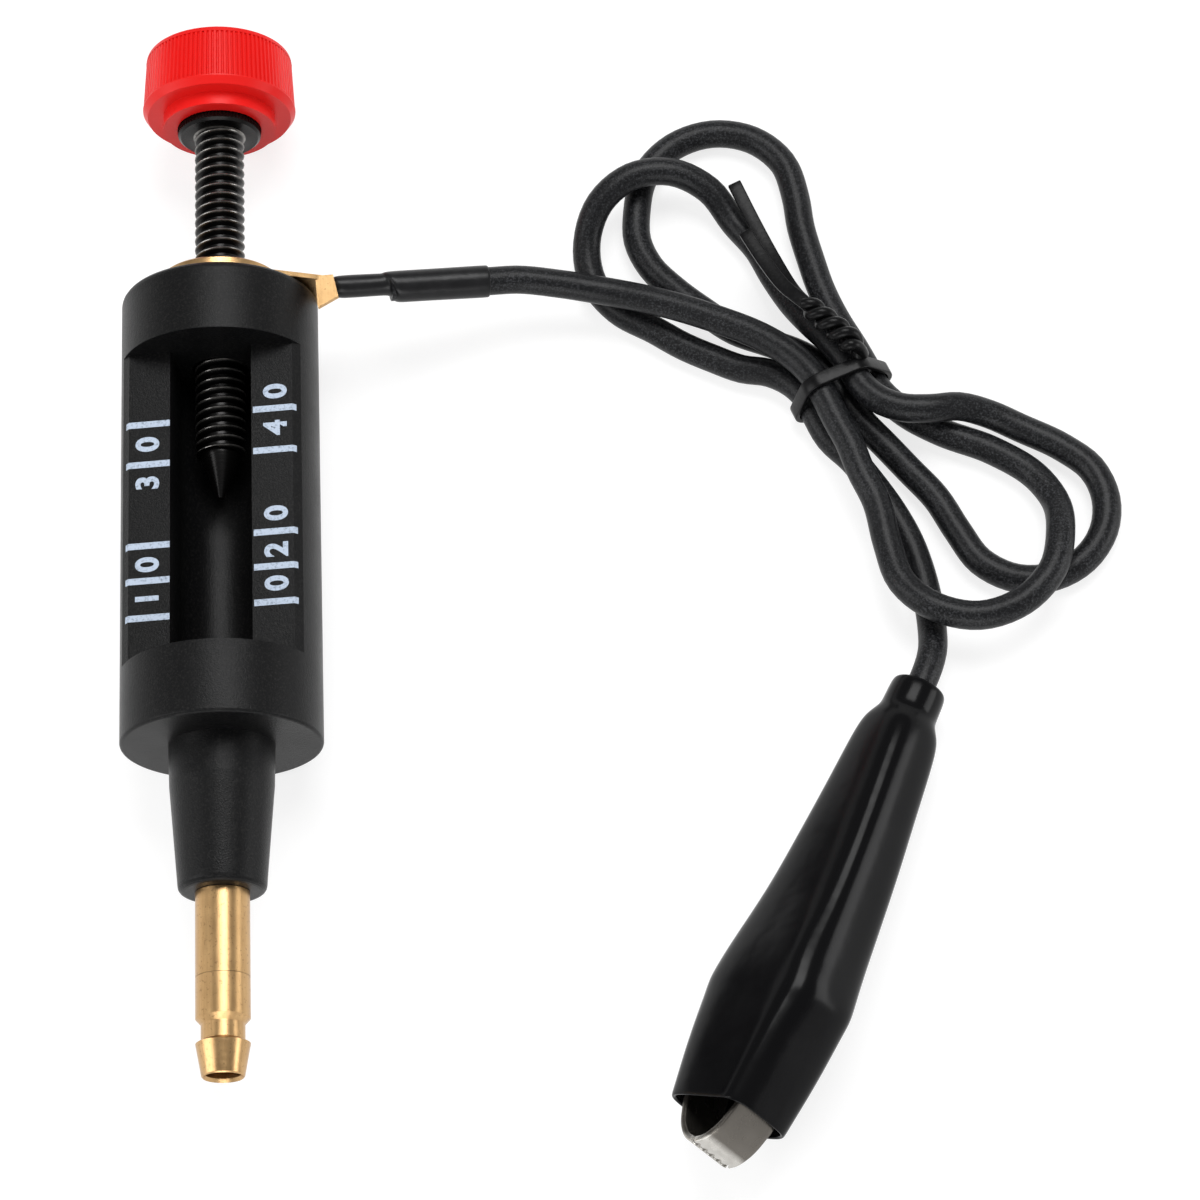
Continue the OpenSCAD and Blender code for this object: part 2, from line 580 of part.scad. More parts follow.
// A jaw's bent strip, with its teeth, on the side that opens
module jaw_strip(line) {
    pitch = jaw_w / jaw_teeth;
    difference() {
        intersection() {
            linear_extrude(jaw_w, center = true) strip(curve(line, 1.5), jaw_t);
            rotate([90, 0, 0]) linear_extrude(4 * jaw_h, center = true) jaw_plan();
        }
        for (i = [0:jaw_teeth - 1])
            translate([jaw_l, jaw_gap / 2 - 0.01, (i - (jaw_teeth - 1) / 2) * pitch]) rotate([0, 90, 0])
                linear_extrude(2 * jaw_t, center = true)
                polygon([[-pitch / 2 + 0.1, 0], [pitch / 2 - 0.1, 0], [0, tooth_depth]]);
    }
}
// One of a jaw's ears, which hang on the pivot
module ear(z) {
    eye_r = pivot_d / 2 + 1.5;
    foot = lever_l * 0.25;
    translate([0, 0, z]) linear_extrude(jaw_t, center = true) difference() {
        union() {
            circle(r = eye_r);
            polygon([[-eye_r, 0], [eye_r, 0], [foot, jaw_h * 0.9], [-foot, jaw_h * 0.96]]);
        }
        circle(r = pivot_d / 2 + running_gap);
    }
}
outer_ear_z = jaw_w / 2 - jaw_t / 2;
inner_ear_z = outer_ear_z - jaw_t - 3 * running_gap;

module clip_fixed_jaw() {
    crimp_r = strand_r + fixed_gap;
    crimp_x = -boot_back_l + strip_l + 0.4;
    tail = [[crimp_x, crimp_r + jaw_t], [crimp_x + crimp_l, crimp_r + jaw_t]];
    color("#c3c5c8") on_clip() mirror([0, 1, 0]) {
        jaw_strip(concat(tail, lever_line(), nose_line()));
        for (side = [-1, 1]) ear(side * outer_ear_z);
        translate([crimp_x, 0, 0]) rotate([0, 90, 0]) difference() {
            cylinder(r = crimp_r + jaw_t, h = crimp_l);
            translate([0, 0, -1]) cylinder(r = crimp_r, h = crimp_l + 2);
        }
    }
}

module clip_moving_jaw() {
    color("#c9cbce") on_clip() {
        jaw_strip(concat(lever_line(), nose_line()));
        for (side = [-1, 1]) ear(side * inner_ear_z);
    }
}

module clip_strands() {
    color("#c98a4f") on_clip() translate([-boot_back_l + strip_l + fixed_gap, 0, 0]) rotate([0, 90, 0])
        cylinder(r = strand_r, h = crimp_l + 0.6);
}

module clip_pivot_pin() {
    shank = jaw_w / 2 + fixed_gap;
    head_r = pivot_d / 2 + 0.7;
    head_t = 0.5;
    color("#b9bbbe") on_clip() rotate_extrude()
        polygon([[0, -shank - head_t], [head_r - 0.2, -shank - head_t], [head_r, -shank - head_t / 2],
            [head_r, -shank], [pivot_d / 2, -shank], [pivot_d / 2, shank], [head_r, shank],
            [head_r, shank + head_t / 2], [head_r - 0.2, shank + head_t], [0, shank + head_t]]);
}

// The torsion spring: a coil round the pin, with a straight leg against each lever
module clip_spring() {
    coil_r = pivot_d / 2 + spring_wire_d / 2 + 0.35;
    rise = inner_ear_z - jaw_t / 2 - spring_wire_d / 2 - 3 * running_gap;
    foot = [-lever_l * 0.55, lever_h + (jaw_h - lever_h) * 0.45 - jaw_t - spring_wire_d / 2 - 0.3];
    steps = 12;
    turn = spring_turns * 360 + 180;
    helix = [for (i = [0:steps * spring_turns + steps / 2]) let (a = 90 + 360 * i / steps)
        [coil_r * cos(a), coil_r * sin(a), -rise + (2 * rise) * (a - 90) / turn]];
    color("#8f9296") on_clip()
        sweep(concat([[foot.x, foot.y, -rise]], helix, [[foot.x, -foot.y, rise]]),
            round_section(spring_wire_d, 6));
}

// The boot: sections along the clip, each a rounded oblong of [x, half height, half width, corner radius]
function boot_sections() = let (
    full = boot_wall + boot_room + jaw_t / 2,
    half_w = jaw_w / 2 + boot_wall + boot_room,
    collar_r = collar_d / 2)
    [[-boot_back_l, collar_r, collar_r, collar_r],
     [-boot_back_l + collar_l, collar_r, collar_r, collar_r],
     [-boot_back_l + collar_l + 2, collar_r + 0.7, collar_r + 0.6, collar_r],
     [-lever_l - 5, lever_h + 0.2 + boot_wall, half_w - 0.2, 3.2],
     [-lever_l * 0.65, lever_h + (jaw_h - lever_h) * 0.36 + full, half_w + 0.2, 3.2],
     [-lever_l * 0.25, jaw_h * 0.96 + full, half_w + 1, 3.4],
     [-jaw_l * 0.05, jaw_h + full + 0.5, half_w + 0.9, 3.4],
     [jaw_l * 0.11, jaw_h + full, half_w + 0.9, 3.4],
     [jaw_l * 0.45, jaw_h * 0.85 + full, half_w + 0.6, 3],
     [boot_front_l, jaw_mouth_h + full + 0.3, half_w + 0.2, 2.6]];
// Points round a rounded oblong
function oblong(x, half_h, half_w, r, per_corner) = [for (q = [0:3]) for (k = [0:per_corner])
    let (a = 90 * q + 90 * k / per_corner, sx = (q == 0 || q == 3) ? 1 : -1, sy = q < 2 ? 1 : -1)
    [x, sx * (half_h - r) + r * cos(a), sy * (half_w - r) + r * sin(a)]];
module clip_boot() {
    bore_r = lead_r + fixed_gap;
    outer = curve(boot_sections(), 4);
    inner = [for (s = outer) concat(s[0], [for (k = [1:3]) max(bore_r, s[k] - boot_wall)])];
    rings = [for (s = concat(outer, [for (i = [len(inner) - 1:-1:0]) inner[i]]))
        oblong(s[0], max(s[1], s[3] + 0.01), max(s[2], s[3] + 0.01), s[3], 5)];
    n = len(rings[0]);
    count = len(rings);
    faces = [for (i = [0:count - 1]) for (k = [0:n - 1])
        let (next = (i + 1) % count, side = (k + 1) % n)
        each [[i * n + k, i * n + side, next * n + side], [i * n + k, next * n + side, next * n + k]]];
    color("#141415") on_clip() polyhedron([for (r = rings) each r], faces);
}

barrel();
bushing();
terminal_rod();
terminal_nut();
adjusting_screw();
knob();
lead_tag();
tag_strands();
shrink_sleeve();
lead();
wire_tie();
clip_strands();
clip_fixed_jaw();
clip_moving_jaw();
clip_pivot_pin();
clip_spring();
clip_boot();
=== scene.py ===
"""Looks of the spark plug tester: finishes for its solids, and the pieces that the solids leave plain."""

import json
import math

import bpy
from mathutils import Matrix, Vector


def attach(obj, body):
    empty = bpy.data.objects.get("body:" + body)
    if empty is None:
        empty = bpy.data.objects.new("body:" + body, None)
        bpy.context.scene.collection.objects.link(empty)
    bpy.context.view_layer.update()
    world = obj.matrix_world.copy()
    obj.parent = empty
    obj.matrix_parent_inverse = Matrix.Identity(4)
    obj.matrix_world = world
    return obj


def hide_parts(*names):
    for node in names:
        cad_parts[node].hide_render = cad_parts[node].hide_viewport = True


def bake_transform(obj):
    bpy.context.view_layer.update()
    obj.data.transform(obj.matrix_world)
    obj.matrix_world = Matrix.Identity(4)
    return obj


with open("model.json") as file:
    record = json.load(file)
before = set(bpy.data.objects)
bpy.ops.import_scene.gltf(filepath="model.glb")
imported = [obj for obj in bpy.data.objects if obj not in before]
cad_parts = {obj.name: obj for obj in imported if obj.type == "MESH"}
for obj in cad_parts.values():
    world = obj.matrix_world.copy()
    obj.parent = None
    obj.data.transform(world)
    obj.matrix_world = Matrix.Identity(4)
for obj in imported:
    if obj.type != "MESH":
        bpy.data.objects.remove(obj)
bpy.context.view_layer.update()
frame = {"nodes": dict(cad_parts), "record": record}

MM = 0.001

# Places along the barrel's axis, in millimetres, as in the part's source
AXIS_Z = 12.0
FLAT_Z = 18.0
Y_POINT = 5.625
Y_SCREW_HEAD = 55.075
SCREW_POINT_L = 5.6
SCREW_PITCH = 1.27
SCREW_R = 3.1
SCREW_ROOT_R = 2.38
SCREW_HEAD_R = 5.2
SCREW_HEAD_H = 6.35


def mm(*values):
    """A point given in millimetres, in metres."""
    return Vector(values) * MM


# Camera: the photograph's, solved from the barrel's outlines on a 1200 by 1200 frame
EYE = mm(85.32, -180.43, 429.75)
BACK = Vector((0.0883, -0.3738, 0.9233)).normalized()
ACROSS = Vector((0.9929, -0.0406, -0.1114))
RIGHT = (ACROSS - ACROSS.dot(BACK) * BACK).normalized()
UP = BACK.cross(RIGHT)
FOCAL_PX = 3835.2
FRAME_PX = 1200
SENSOR_MM = 36


def add_camera():
    """The photograph's camera."""
    data = bpy.data.cameras.new("photo_camera")
    data.sensor_width = SENSOR_MM
    data.lens = SENSOR_MM * FOCAL_PX / FRAME_PX
    data.clip_start = 10 * MM
    camera = bpy.data.objects.new("photo_camera", data)
    bpy.context.collection.objects.link(camera)
    turn = Matrix((RIGHT, UP, BACK)).transposed().to_4x4()
    camera.matrix_world = Matrix.Translation(EYE) @ turn
    bpy.context.scene.camera = camera


class Value:
    """A shader socket that takes part in Python arithmetic."""

    def __init__(self, finish, socket):
        self.finish = finish
        self.socket = socket

    def _math(self, operation, a, b):
        return self.finish.add("ShaderNodeMath", {"operation": operation}, {0: a, 1: b})

    def __add__(self, other):
        return self._math("ADD", self, other)

    def __radd__(self, other):
        return self._math("ADD", other, self)

    def __sub__(self, other):
        return self._math("SUBTRACT", self, other)

    def __mul__(self, other):
        return self._math("MULTIPLY", self, other)

    def __pow__(self, other):
        return self._math("POWER", self, other)


class Finish:
    """One material and the nodes that make it."""

    def __init__(self, name):
        self.material = bpy.data.materials.new(name)
        self.material.use_nodes = True
        self.tree = self.material.node_tree
        self.tree.nodes.clear()
        self.place = self.add("ShaderNodeTexCoord", output="Object")

    def add(self, kind, settings=None, inputs=None, output=0):
        """Adds a node with its settings and inputs, and gives back one of its outputs."""
        node = self.tree.nodes.new(kind)
        for name, value in (settings or {}).items():
            if name == "stops":
                ramp = node.color_ramp.elements
                for i, (position, level) in enumerate(value):
                    stop = ramp[i] if i < 2 else ramp.new(position)
                    stop.position = position
                    stop.color = (level, level, level, 1)
            else:
                setattr(node, name, value)
        for name, value in (inputs or {}).items():
            if isinstance(value, Value):
                self.tree.links.new(value.socket, node.inputs[name])
            else:
                node.inputs[name].default_value = value
        return Value(self, node.outputs[output])

    def stretched(self, x, y, z):
        """Object coordinates with a scale for each axis."""
        return self.add("ShaderNodeMapping", None, {"Vector": self.place, "Scale": (x, y, z)})

    def noise(self, scale, detail=2.0, roughness=0.5, place=None):
        """Noise from 0 to 1, on object coordinates or on stretched ones."""
        inputs = {"Vector": place or self.place, "Scale": scale, "Detail": detail, "Roughness": roughness}
        return self.add("ShaderNodeTexNoise", None, inputs, "Fac")

    def from_axis(self, height):
        """How far a point is from the tester's long axis, which runs along Y at a height."""
        x = self.add("ShaderNodeSeparateXYZ", None, {"Vector": self.place}, "X")
        z = self.add("ShaderNodeSeparateXYZ", None, {"Vector": self.place}, "Z") - height
        return (x * x + z * z) ** 0.5

    def along(self, direction):
        """How far a point lies along a direction, from the origin."""
        inputs = {0: self.place, 1: direction}
        return self.add("ShaderNodeVectorMath", {"operation": "DOT_PRODUCT"}, inputs, "Value")

    def ramp(self, value, *stops):
        """A grey ramp through stops of (place, level)."""
        return self.add("ShaderNodeValToRGB", {"stops": stops}, {"Fac": value})

    def mix(self, share, a, b):
        """A colour between two, by a share from 0 to 1."""
        return self.add("ShaderNodeMix", {"data_type": "RGBA"}, {0: share, 6: colour(a), 7: colour(b)}, 2)

    def surface(self, height, depth, bump, **inputs):
        """Ends the material in one principled surface, with a bump whose depth is in metres."""
        named = {name.replace("_", " "): value for name, value in inputs.items()}
        relief = {"Strength": bump, "Distance": depth, "Height": height}
        named["Normal"] = self.add("ShaderNodeBump", None, relief)
        return self.end(self.add("ShaderNodeBsdfPrincipled", None, named))

    def end(self, shader):
        """Joins a shader to the material's output, and gives back the material."""
        node = self.tree.nodes.new("ShaderNodeOutputMaterial")
        self.tree.links.new(shader.socket, node.inputs["Surface"])
        return self.material


def colour(value):
    """A colour of three numbers gets its fourth."""
    return (*value, 1.0) if isinstance(value, tuple) and len(value) == 3 else value


def barrel_plastic():
    f = Finish("moulded_black_plastic")
    grain = f.noise(5200, 3, 0.6)
    blotch = f.noise(160, 2)
    speck = f.ramp(f.noise(3600, 2, 0.7), (0.5, 0.0), (0.74, 1.0))
    base = f.mix(speck * (0.3 + blotch * 0.4), (0.0036, 0.0037, 0.004), (0.026, 0.025, 0.024))
    rough = 0.29 + blotch * 0.14
    return f.surface(grain, 0.00008, 0.6, Base_Color=base, Roughness=rough, Specular_IOR_Level=0.15)


def red_plastic():
    f = Finish("moulded_red_plastic")
    cloud = f.noise(90, 2)
    grain = f.noise(3500, 2)
    base = f.mix(cloud, (0.7, 0.008, 0.007), (0.8, 0.014, 0.011))
    rough = 0.3 + cloud * 0.12
    return f.surface(grain, 0.00003, 0.4, Base_Color=base, Roughness=rough, Specular_IOR_Level=0.22)


def black_steel():
    f = Finish("black_oxide_steel")
    lines = f.noise(1.0, 2, place=f.stretched(300, 5000, 300))
    patch = f.ramp(f.noise(900, 3, 0.7), (0.35, 0.0), (0.65, 1.0))
    # Brighter thread crests: partly worn oxide, partly a painted highlight.
    crest_wear_and_highlight = f.ramp(f.from_axis(AXIS_Z * MM) * 100, (0.288, 0.0), (0.312, 1.0), (0.322, 1.0), (0.33, 0.0))
    base = f.mix(crest_wear_and_highlight * (0.35 + patch * 0.65), (0.012, 0.0115, 0.0115), (0.3, 0.29, 0.275))
    rough = 0.2 + lines * 0.18
    return f.surface(lines, 0.00003, 0.4, Base_Color=base, Roughness=rough, Metallic=0.85)


def turned_brass():
    f = Finish("turned_brass")
    rings = f.noise(1.0, 3, 0.6, place=f.stretched(60, 9000, 60))
    # Streaks along the rod: partly drawn grain, partly painted dark and bright reflection bands.
    drawn = f.noise(1.0, 3, 0.65, place=f.stretched(2600, 130, 2600))
    cloud = f.noise(420, 3, 0.6)
    speck = f.ramp(f.noise(2600, 2, 0.6), (0.6, 0.0), (0.7, 1.0))
    base = f.mix(drawn * 0.6 + cloud * 0.4, (0.34, 0.185, 0.07), (0.72, 0.48, 0.235))
    base = f.mix(speck * 0.5, base, (0.2, 0.11, 0.045))
    rough = 0.2 + cloud * 0.16 + rings * 0.08
    return f.surface(rings, 0.00004, 0.35, Base_Color=base, Roughness=rough, Metallic=1.0)


def copper():
    f = Finish("bare_copper")
    lay = f.noise(1.0, 2, place=f.stretched(600, 600, 600))
    base = f.mix(lay, (0.4, 0.16, 0.08), (0.72, 0.36, 0.2))
    rough = 0.28 + lay * 0.2
    return f.surface(lay, 0.0002, 0.6, Base_Color=base, Roughness=rough, Metallic=1.0)


def sleeve_plastic():
    f = Finish("shrunk_sleeve")
    skin = f.noise(700, 3, 0.55)
    base = f.mix(skin, (0.005, 0.005, 0.0055), (0.014, 0.014, 0.015))
    rough = 0.24 + skin * 0.16
    return f.surface(skin, 0.00014, 0.35, Base_Color=base, Roughness=rough, Specular_IOR_Level=0.22)


def lead_rubber():
    f = Finish("lead_jacket")
    speck = f.ramp(f.noise(3900, 2, 0.75), (0.47, 0.0), (0.72, 1.0))
    skin = f.noise(1500, 3, 0.6)
    patch = f.ramp(f.noise(60, 2), (0.3, 0.0), (0.65, 1.0))
    dust = speck * (0.35 + patch * 0.65)
    base = f.mix(dust * 0.6, (0.0045, 0.0047, 0.0054), (0.1, 0.103, 0.111))
    rough = 0.38 + dust * 0.2
    return f.surface(skin, 0.00012, 0.45, Base_Color=base, Roughness=rough, Specular_IOR_Level=0.2)


def tie_plastic():
    f = Finish("tie_strap")
    skin = f.noise(1800, 2)
    base = f.mix(skin, (0.002, 0.002, 0.0022), (0.0055, 0.0055, 0.006))
    rough = 0.24 + skin * 0.14
    return f.surface(skin, 0.00005, 0.4, Base_Color=base, Roughness=rough, Specular_IOR_Level=0.14)


def nickel():
    f = Finish("nickel_plate")
    rolled = f.noise(1.0, 2, place=f.stretched(900, 300, 900))
    cloud = f.noise(150, 2, 0.5)
    lip = CLIP_PIVOT.dot(CLIP_DIR) + JAW_L * MM
    # Painted highlight: the lip of each jaw's nose is painted bright.
    painted_lip_highlight = f.ramp((f.along(CLIP_DIR) - lip) * 100 + 0.5, (0.41, 0.0), (0.47, 1.0))
    # Painted reflection: away from the lip the plate is kept dark, standing for a dark reflection.
    base = f.mix(cloud, (0.075, 0.068, 0.06), (0.19, 0.175, 0.155))
    base = f.mix(painted_lip_highlight * (0.5 + rolled * 0.5), base, (0.66, 0.64, 0.6))
    rough = 0.18 + rolled * 0.16
    return f.surface(rolled, 0.00003, 0.3, Base_Color=base, Roughness=rough, Metallic=0.85)


def spring_steel():
    f = Finish("spring_wire")
    drawn = f.noise(2000, 2)
    base = f.mix(drawn, (0.25, 0.25, 0.25), (0.5, 0.5, 0.5))
    rough = 0.22 + drawn * 0.12
    return f.surface(drawn, 0.00003, 0.3, Base_Color=base, Roughness=rough, Metallic=1.0)


def boot_vinyl():
    f = Finish("dipped_vinyl")
    ripple = f.noise(190, 2, 0.5)
    cloud = f.noise(60, 2)
    base = f.mix(cloud, (0.002, 0.002, 0.0024), (0.0045, 0.0045, 0.005))
    rough = 0.14 + ripple * 0.1
    return f.surface(ripple, 0.0004, 0.16, Base_Color=base, Roughness=rough, Specular_IOR_Level=0.11)


def scale_print():
    f = Finish("printed_scale")
    wear = f.ramp(f.noise(3200, 3, 0.7), (0.3, 0.0), (0.5, 1.0))
    base = f.mix(wear, (0.2, 0.25, 0.32), (0.46, 0.54, 0.66))
    return f.surface(wear, 0.00003, 0.4, Base_Color=base, Roughness=0.6)


def only(piece):
    """Selects one object alone and makes it active."""
    if bpy.context.object and bpy.context.object.mode != "OBJECT":
        bpy.ops.object.mode_set(mode="OBJECT")
    bpy.ops.object.select_all(action="DESELECT")
    piece.select_set(True)
    bpy.context.view_layer.objects.active = piece


def editing(piece):
    """Goes into edit mode on one object, with all of it selected."""
    only(piece)
    bpy.ops.object.mode_set(mode="EDIT")
    bpy.ops.mesh.select_all(action="SELECT")


def done():
    """Leaves edit mode."""
    bpy.ops.object.mode_set(mode="OBJECT")


def started(name):
    """Names the object that was just made."""
    piece = bpy.context.object
    piece.name = name
    piece.data.name = name
    return piece


def extruded(name, sides, rings, close=True):
    """Extrudes a circle through rings, in millimetres and degrees.

    A ring is (height, x radius, y radius, x shift, y shift, tilt), and the last three may be left out.
    """
    bpy.ops.object.select_all(action="DESELECT")
    bpy.ops.mesh.primitive_circle_add(vertices=sides, radius=MM)
    piece = started(name)
    editing(piece)
    rings = [(*ring, 0.0, 0.0, 0.0)[:6] for ring in rings]
    height, rx, ry, x, y, tilt = rings[0]
    bpy.ops.transform.resize(value=(rx, ry, 1), center_override=(0, 0, 0))
    bpy.ops.transform.translate(value=mm(x, y, height))
    tilted(tilt, mm(x, y, height))
    for a, b in zip(rings, rings[1:]):
        middle = mm(b[3], b[4], b[0])
        step = middle - mm(a[3], a[4], a[0])
        bpy.ops.mesh.extrude_edges_move(TRANSFORM_OT_translate={"value": step})
        tilted(-a[5], middle)
        bpy.ops.transform.resize(value=(b[1] / a[1], b[2] / a[2], 1), center_override=middle)
        tilted(b[5], middle)
    if close:
        bpy.ops.mesh.select_all(action="SELECT")
        bpy.ops.mesh.fill_holes(sides=0)
    bpy.ops.mesh.select_all(action="SELECT")
    bpy.ops.mesh.normals_make_consistent(inside=False)
    done()
    return piece


def tilted(degrees, middle):
    """Tilts what is selected about its own Y, with its +X side going down."""
    if degrees:
        bpy.ops.transform.rotate(value=-math.radians(degrees), orient_axis="Y", center_override=middle)


def pick(piece, test):
    """Goes into edit mode with the vertices selected that pass a test on their place in millimetres."""
    only(piece)
    bpy.ops.object.mode_set(mode="EDIT")
    bpy.ops.mesh.select_mode(type="VERT")
    bpy.ops.mesh.select_all(action="DESELECT")
    done()
    for v in piece.data.vertices:
        v.select = test(v.co / MM)
    bpy.ops.object.mode_set(mode="EDIT")


def applied(piece, kind, **settings):
    """Adds a modifier and applies it."""
    only(piece)
    modifier = piece.modifiers.new(kind.lower(), kind)
    for name, value in settings.items():
        setattr(modifier, name, value)
    bpy.ops.object.modifier_apply(modifier=modifier.name)
    return piece


def placed(piece, matrix):
    """Moves a piece and applies its place to its mesh."""
    only(piece)
    piece.matrix_world = matrix
    bpy.ops.object.transform_apply(location=True, rotation=True, scale=True)
    return piece


def joined(name, *pieces):
    """Joins pieces into one mesh."""
    only(pieces[0])
    for piece in pieces:
        piece.select_set(True)
    bpy.ops.object.join()
    return started(name)


def smooth(piece, degrees=35):
    """Shades a piece smooth, but for edges sharper than an angle."""
    only(piece)
    bpy.ops.object.shade_smooth_by_angle(angle=math.radians(degrees))
    return piece


def dressed(piece, material, body="tester", stands_for=()):
    """Gives a finished piece its material, its body and the solids it stands for."""
    piece.data.materials.clear()
    piece.data.materials.append(material)
    if stands_for:
        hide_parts(*stands_for)
    if body:
        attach(piece, body)
    return piece


# The barrel's axis, with a piece's own Z along +Y
ON_AXIS = Matrix.Translation(mm(0, 0, AXIS_Z)) @ Matrix.Rotation(math.radians(-90), 4, "X")

# The clip's own frame: X towards the nose, Y the way the jaws open, Z along the pivot
CLIP_PIVOT = mm(63, -61.5, 8.5)
CLIP_HEADING = math.radians(-116)
CLIP_TILT = math.radians(5.5)
CLIP_ROLL = math.radians(40)
ON_CLIP = (
    Matrix.Translation(CLIP_PIVOT)
    @ Matrix.Rotation(CLIP_HEADING, 4, "Z")
    @ Matrix.Rotation(-CLIP_TILT, 4, "Y")
    @ Matrix.Rotation(CLIP_ROLL, 4, "X")
)
CLIP_DIR = (ON_CLIP.to_3x3() @ Vector((1, 0, 0))).normalized()
JAW_L = 18.5
BOOT_BACK = 43.5
JACKET_IN_BOOT = 7.5
COLLAR = CLIP_PIVOT - BOOT_BACK * MM * CLIP_DIR
JACKET_END = COLLAR + JACKET_IN_BOOT * MM * CLIP_DIR

# The wire's grip on the tag, and the sleeve's straight line from there
LEAD_D = 3.5
BARE_L = 1.9
SLEEVE_NECK_L = 6
SLEEVE_BODY_L = 12.2
GRIP = mm(13.724, 31.175, 14.543)
SLEEVE_DIR = (mm(33.34, 33.26, 9.2) - GRIP).normalized()
SLEEVE_START = GRIP + BARE_L * MM * SLEEVE_DIR
LEAD_START = SLEEVE_START + SLEEVE_NECK_L * MM * SLEEVE_DIR
SLEEVE_END = LEAD_START + SLEEVE_BODY_L * MM * SLEEVE_DIR

# The bundle's waist: five runs drawn together, three below and two above
WAIST = (75.2, 17.4)
WAIST_TURN = math.radians(22)
WAIST_HALF = 1.2
RUNS = {
    "out": (-4.1, 2.5),
    "cross": (0, 2.5),
    "back": (4.1, 2.5),
    "first": (-2.6, 6.477),
    "over": (1.95, 6.067),
}

# The height of a run that lies on the floor
FLAT = LEAD_D / 2 + 0.05


def at_waist(run, along):
    """A point of a run near the waist, at a distance along the bundle."""
    across, height = RUNS[run]
    s, c = math.sin(WAIST_TURN), math.cos(WAIST_TURN)
    return (WAIST[0] + across * c + along * s, WAIST[1] + across * s - along * c, height)


def down(run):
    """A run's way through the waist towards the clip."""
    return [at_waist(run, -WAIST_HALF), at_waist(run, WAIST_HALF)]


def up(run):
    """A run's way through the waist away from the clip."""
    return [at_waist(run, WAIST_HALF), at_waist(run, -WAIST_HALF)]


def bight(x, y, radius, first, last, heights):
    """The round end of a loop, anticlockwise, with a height for each point."""
    points = []
    for i, height in enumerate(heights):
        a = math.radians(first + (last - first) * i / (len(heights) - 1))
        points.append((x + radius * math.cos(a), y + radius * math.sin(a), height))
    return points


def flat(*points):
    """Points of a run that lies on the floor."""
    return [(x, y, FLAT) for x, y in points]


def lead_route():
    """The lead's route, from the sleeve round four loops to the clip."""
    points = [(41.5, 33.15, 7.1), (46.5, 32.3, 6), (53.4, 30.2, 5.8), (60.2, 27.3, 5.8)]
    points += [(66.6, 23.7, 6), (70, 20.8, 6.2)]
    points += down("first")
    points += [(74.6, 11.8, 6.2), (75.8, 9, 6.2), (76.9, 5.4, 5.9), (78.6, 1, 5.7)]
    points += bight(89.8, -4.4, 10.3, 180, 360, (5.5, 5.9, 6.4, 6.1, 6.2, 6, 5))
    points += [(99.8, 0.8, 2.7), (97.8, 4.4, 1.9)]
    points += flat((93, 8.2), (86.7, 11.4)) + [(82.8, 14.1, 1.9)]
    points += up("back")
    points += [(77.1, 23.6, 2)] + flat((75.3, 27.4), (73.7, 31.6), (72.5, 36.4), (71.6, 40.8))
    points += bight(61.2, 45, 10, 0, 180, [FLAT] * 7)
    points += flat((51.1, 40.8), (52.6, 37), (55.4, 33.6), (59, 30.2), (62.6, 27.2), (66.7, 25.2))
    points += [(70.6, 23.2, 1.8), (73.2, 20.8, 2.3)]
    points += down("cross")
    points += [(77.6, 13.2, 2.1)] + flat((80, 10.2), (82.7, 6.6), (85.7, 2.6), (88, -2), (90.4, -6.1))
    points += bight(97, 0, 9, 255, 420, [FLAT] * 7)
    points += [(96.4, 10.9, 2), (92.9, 12.6, 2.9), (89.3, 13.2, 4.6), (85.8, 12.7, 5.8)]
    points += [(82.3, 13.1, 6), (79.3, 14.7, 6.1)]
    points += up("over")
    points += [(74.4, 22.9, 5.5), (72, 26.5, 4), (69.9, 30, 2.6), (67.9, 34, 1.9), (66, 38.2, 1.9)]
    points += bight(54.3, 38.8, 9.6, 20, 230, (1.9, 3.6, 5.3, 5.8, 5.1, 3.2, 2.2, 1.8))
    points += [(52.7, 28.2, 1.9)] + flat((56.2, 25.7), (59.7, 23.7))
    points += [(63.2, 21.9, 1.9), (66.6, 20.9, 2.2), (69.3, 19.1, 2.4)]
    points += down("out")
    points += [(73.3, 11.6, 2)] + flat((75.9, 8.6), (78.2, 5.1), (80.4, 1.2), (82.1, -2.8), (83.2, -7))
    points += [(83.8, -11, 1.9), (84, -14.5, 2.2), (83.8, -17.8, 3.4)]
    sleeve = [LEAD_START, (LEAD_START + SLEEVE_END) / 2, SLEEVE_END, SLEEVE_END + LEAD_D * MM * SLEEVE_DIR]
    clip = [COLLAR - LEAD_D / 2 * MM * CLIP_DIR, COLLAR, JACKET_END]
    return sleeve + [mm(*p) for p in points] + clip


def slope(points, i):
    """The curve's direction at one of its points."""
    if i == 0:
        return (points[1] - points[0]).normalized()
    if i == len(points) - 1:
        return (points[i] - points[i - 1]).normalized()
    before, after = points[i] - points[i - 1], points[i + 1] - points[i]
    a, b = before.length, after.length
    return (before * b / a + after * a / b) / (a + b)


def curve_through(points, step):
    """A smooth curve through the points, in steps of about the given length in millimetres."""
    path = []
    for i, (p, q) in enumerate(zip(points, points[1:])):
        length = (q - p).length
        count = max(1, round(length / step / MM))
        for k in range(count):
            t = k / count
            path.append(
                p * (1 + 2 * t) * (1 - t) ** 2
                + slope(points, i) * length * t * (1 - t) ** 2
                + q * t * t * (3 - 2 * t)
                + slope(points, i + 1) * length * t * t * (t - 1)
            )
    return path + [points[-1]]


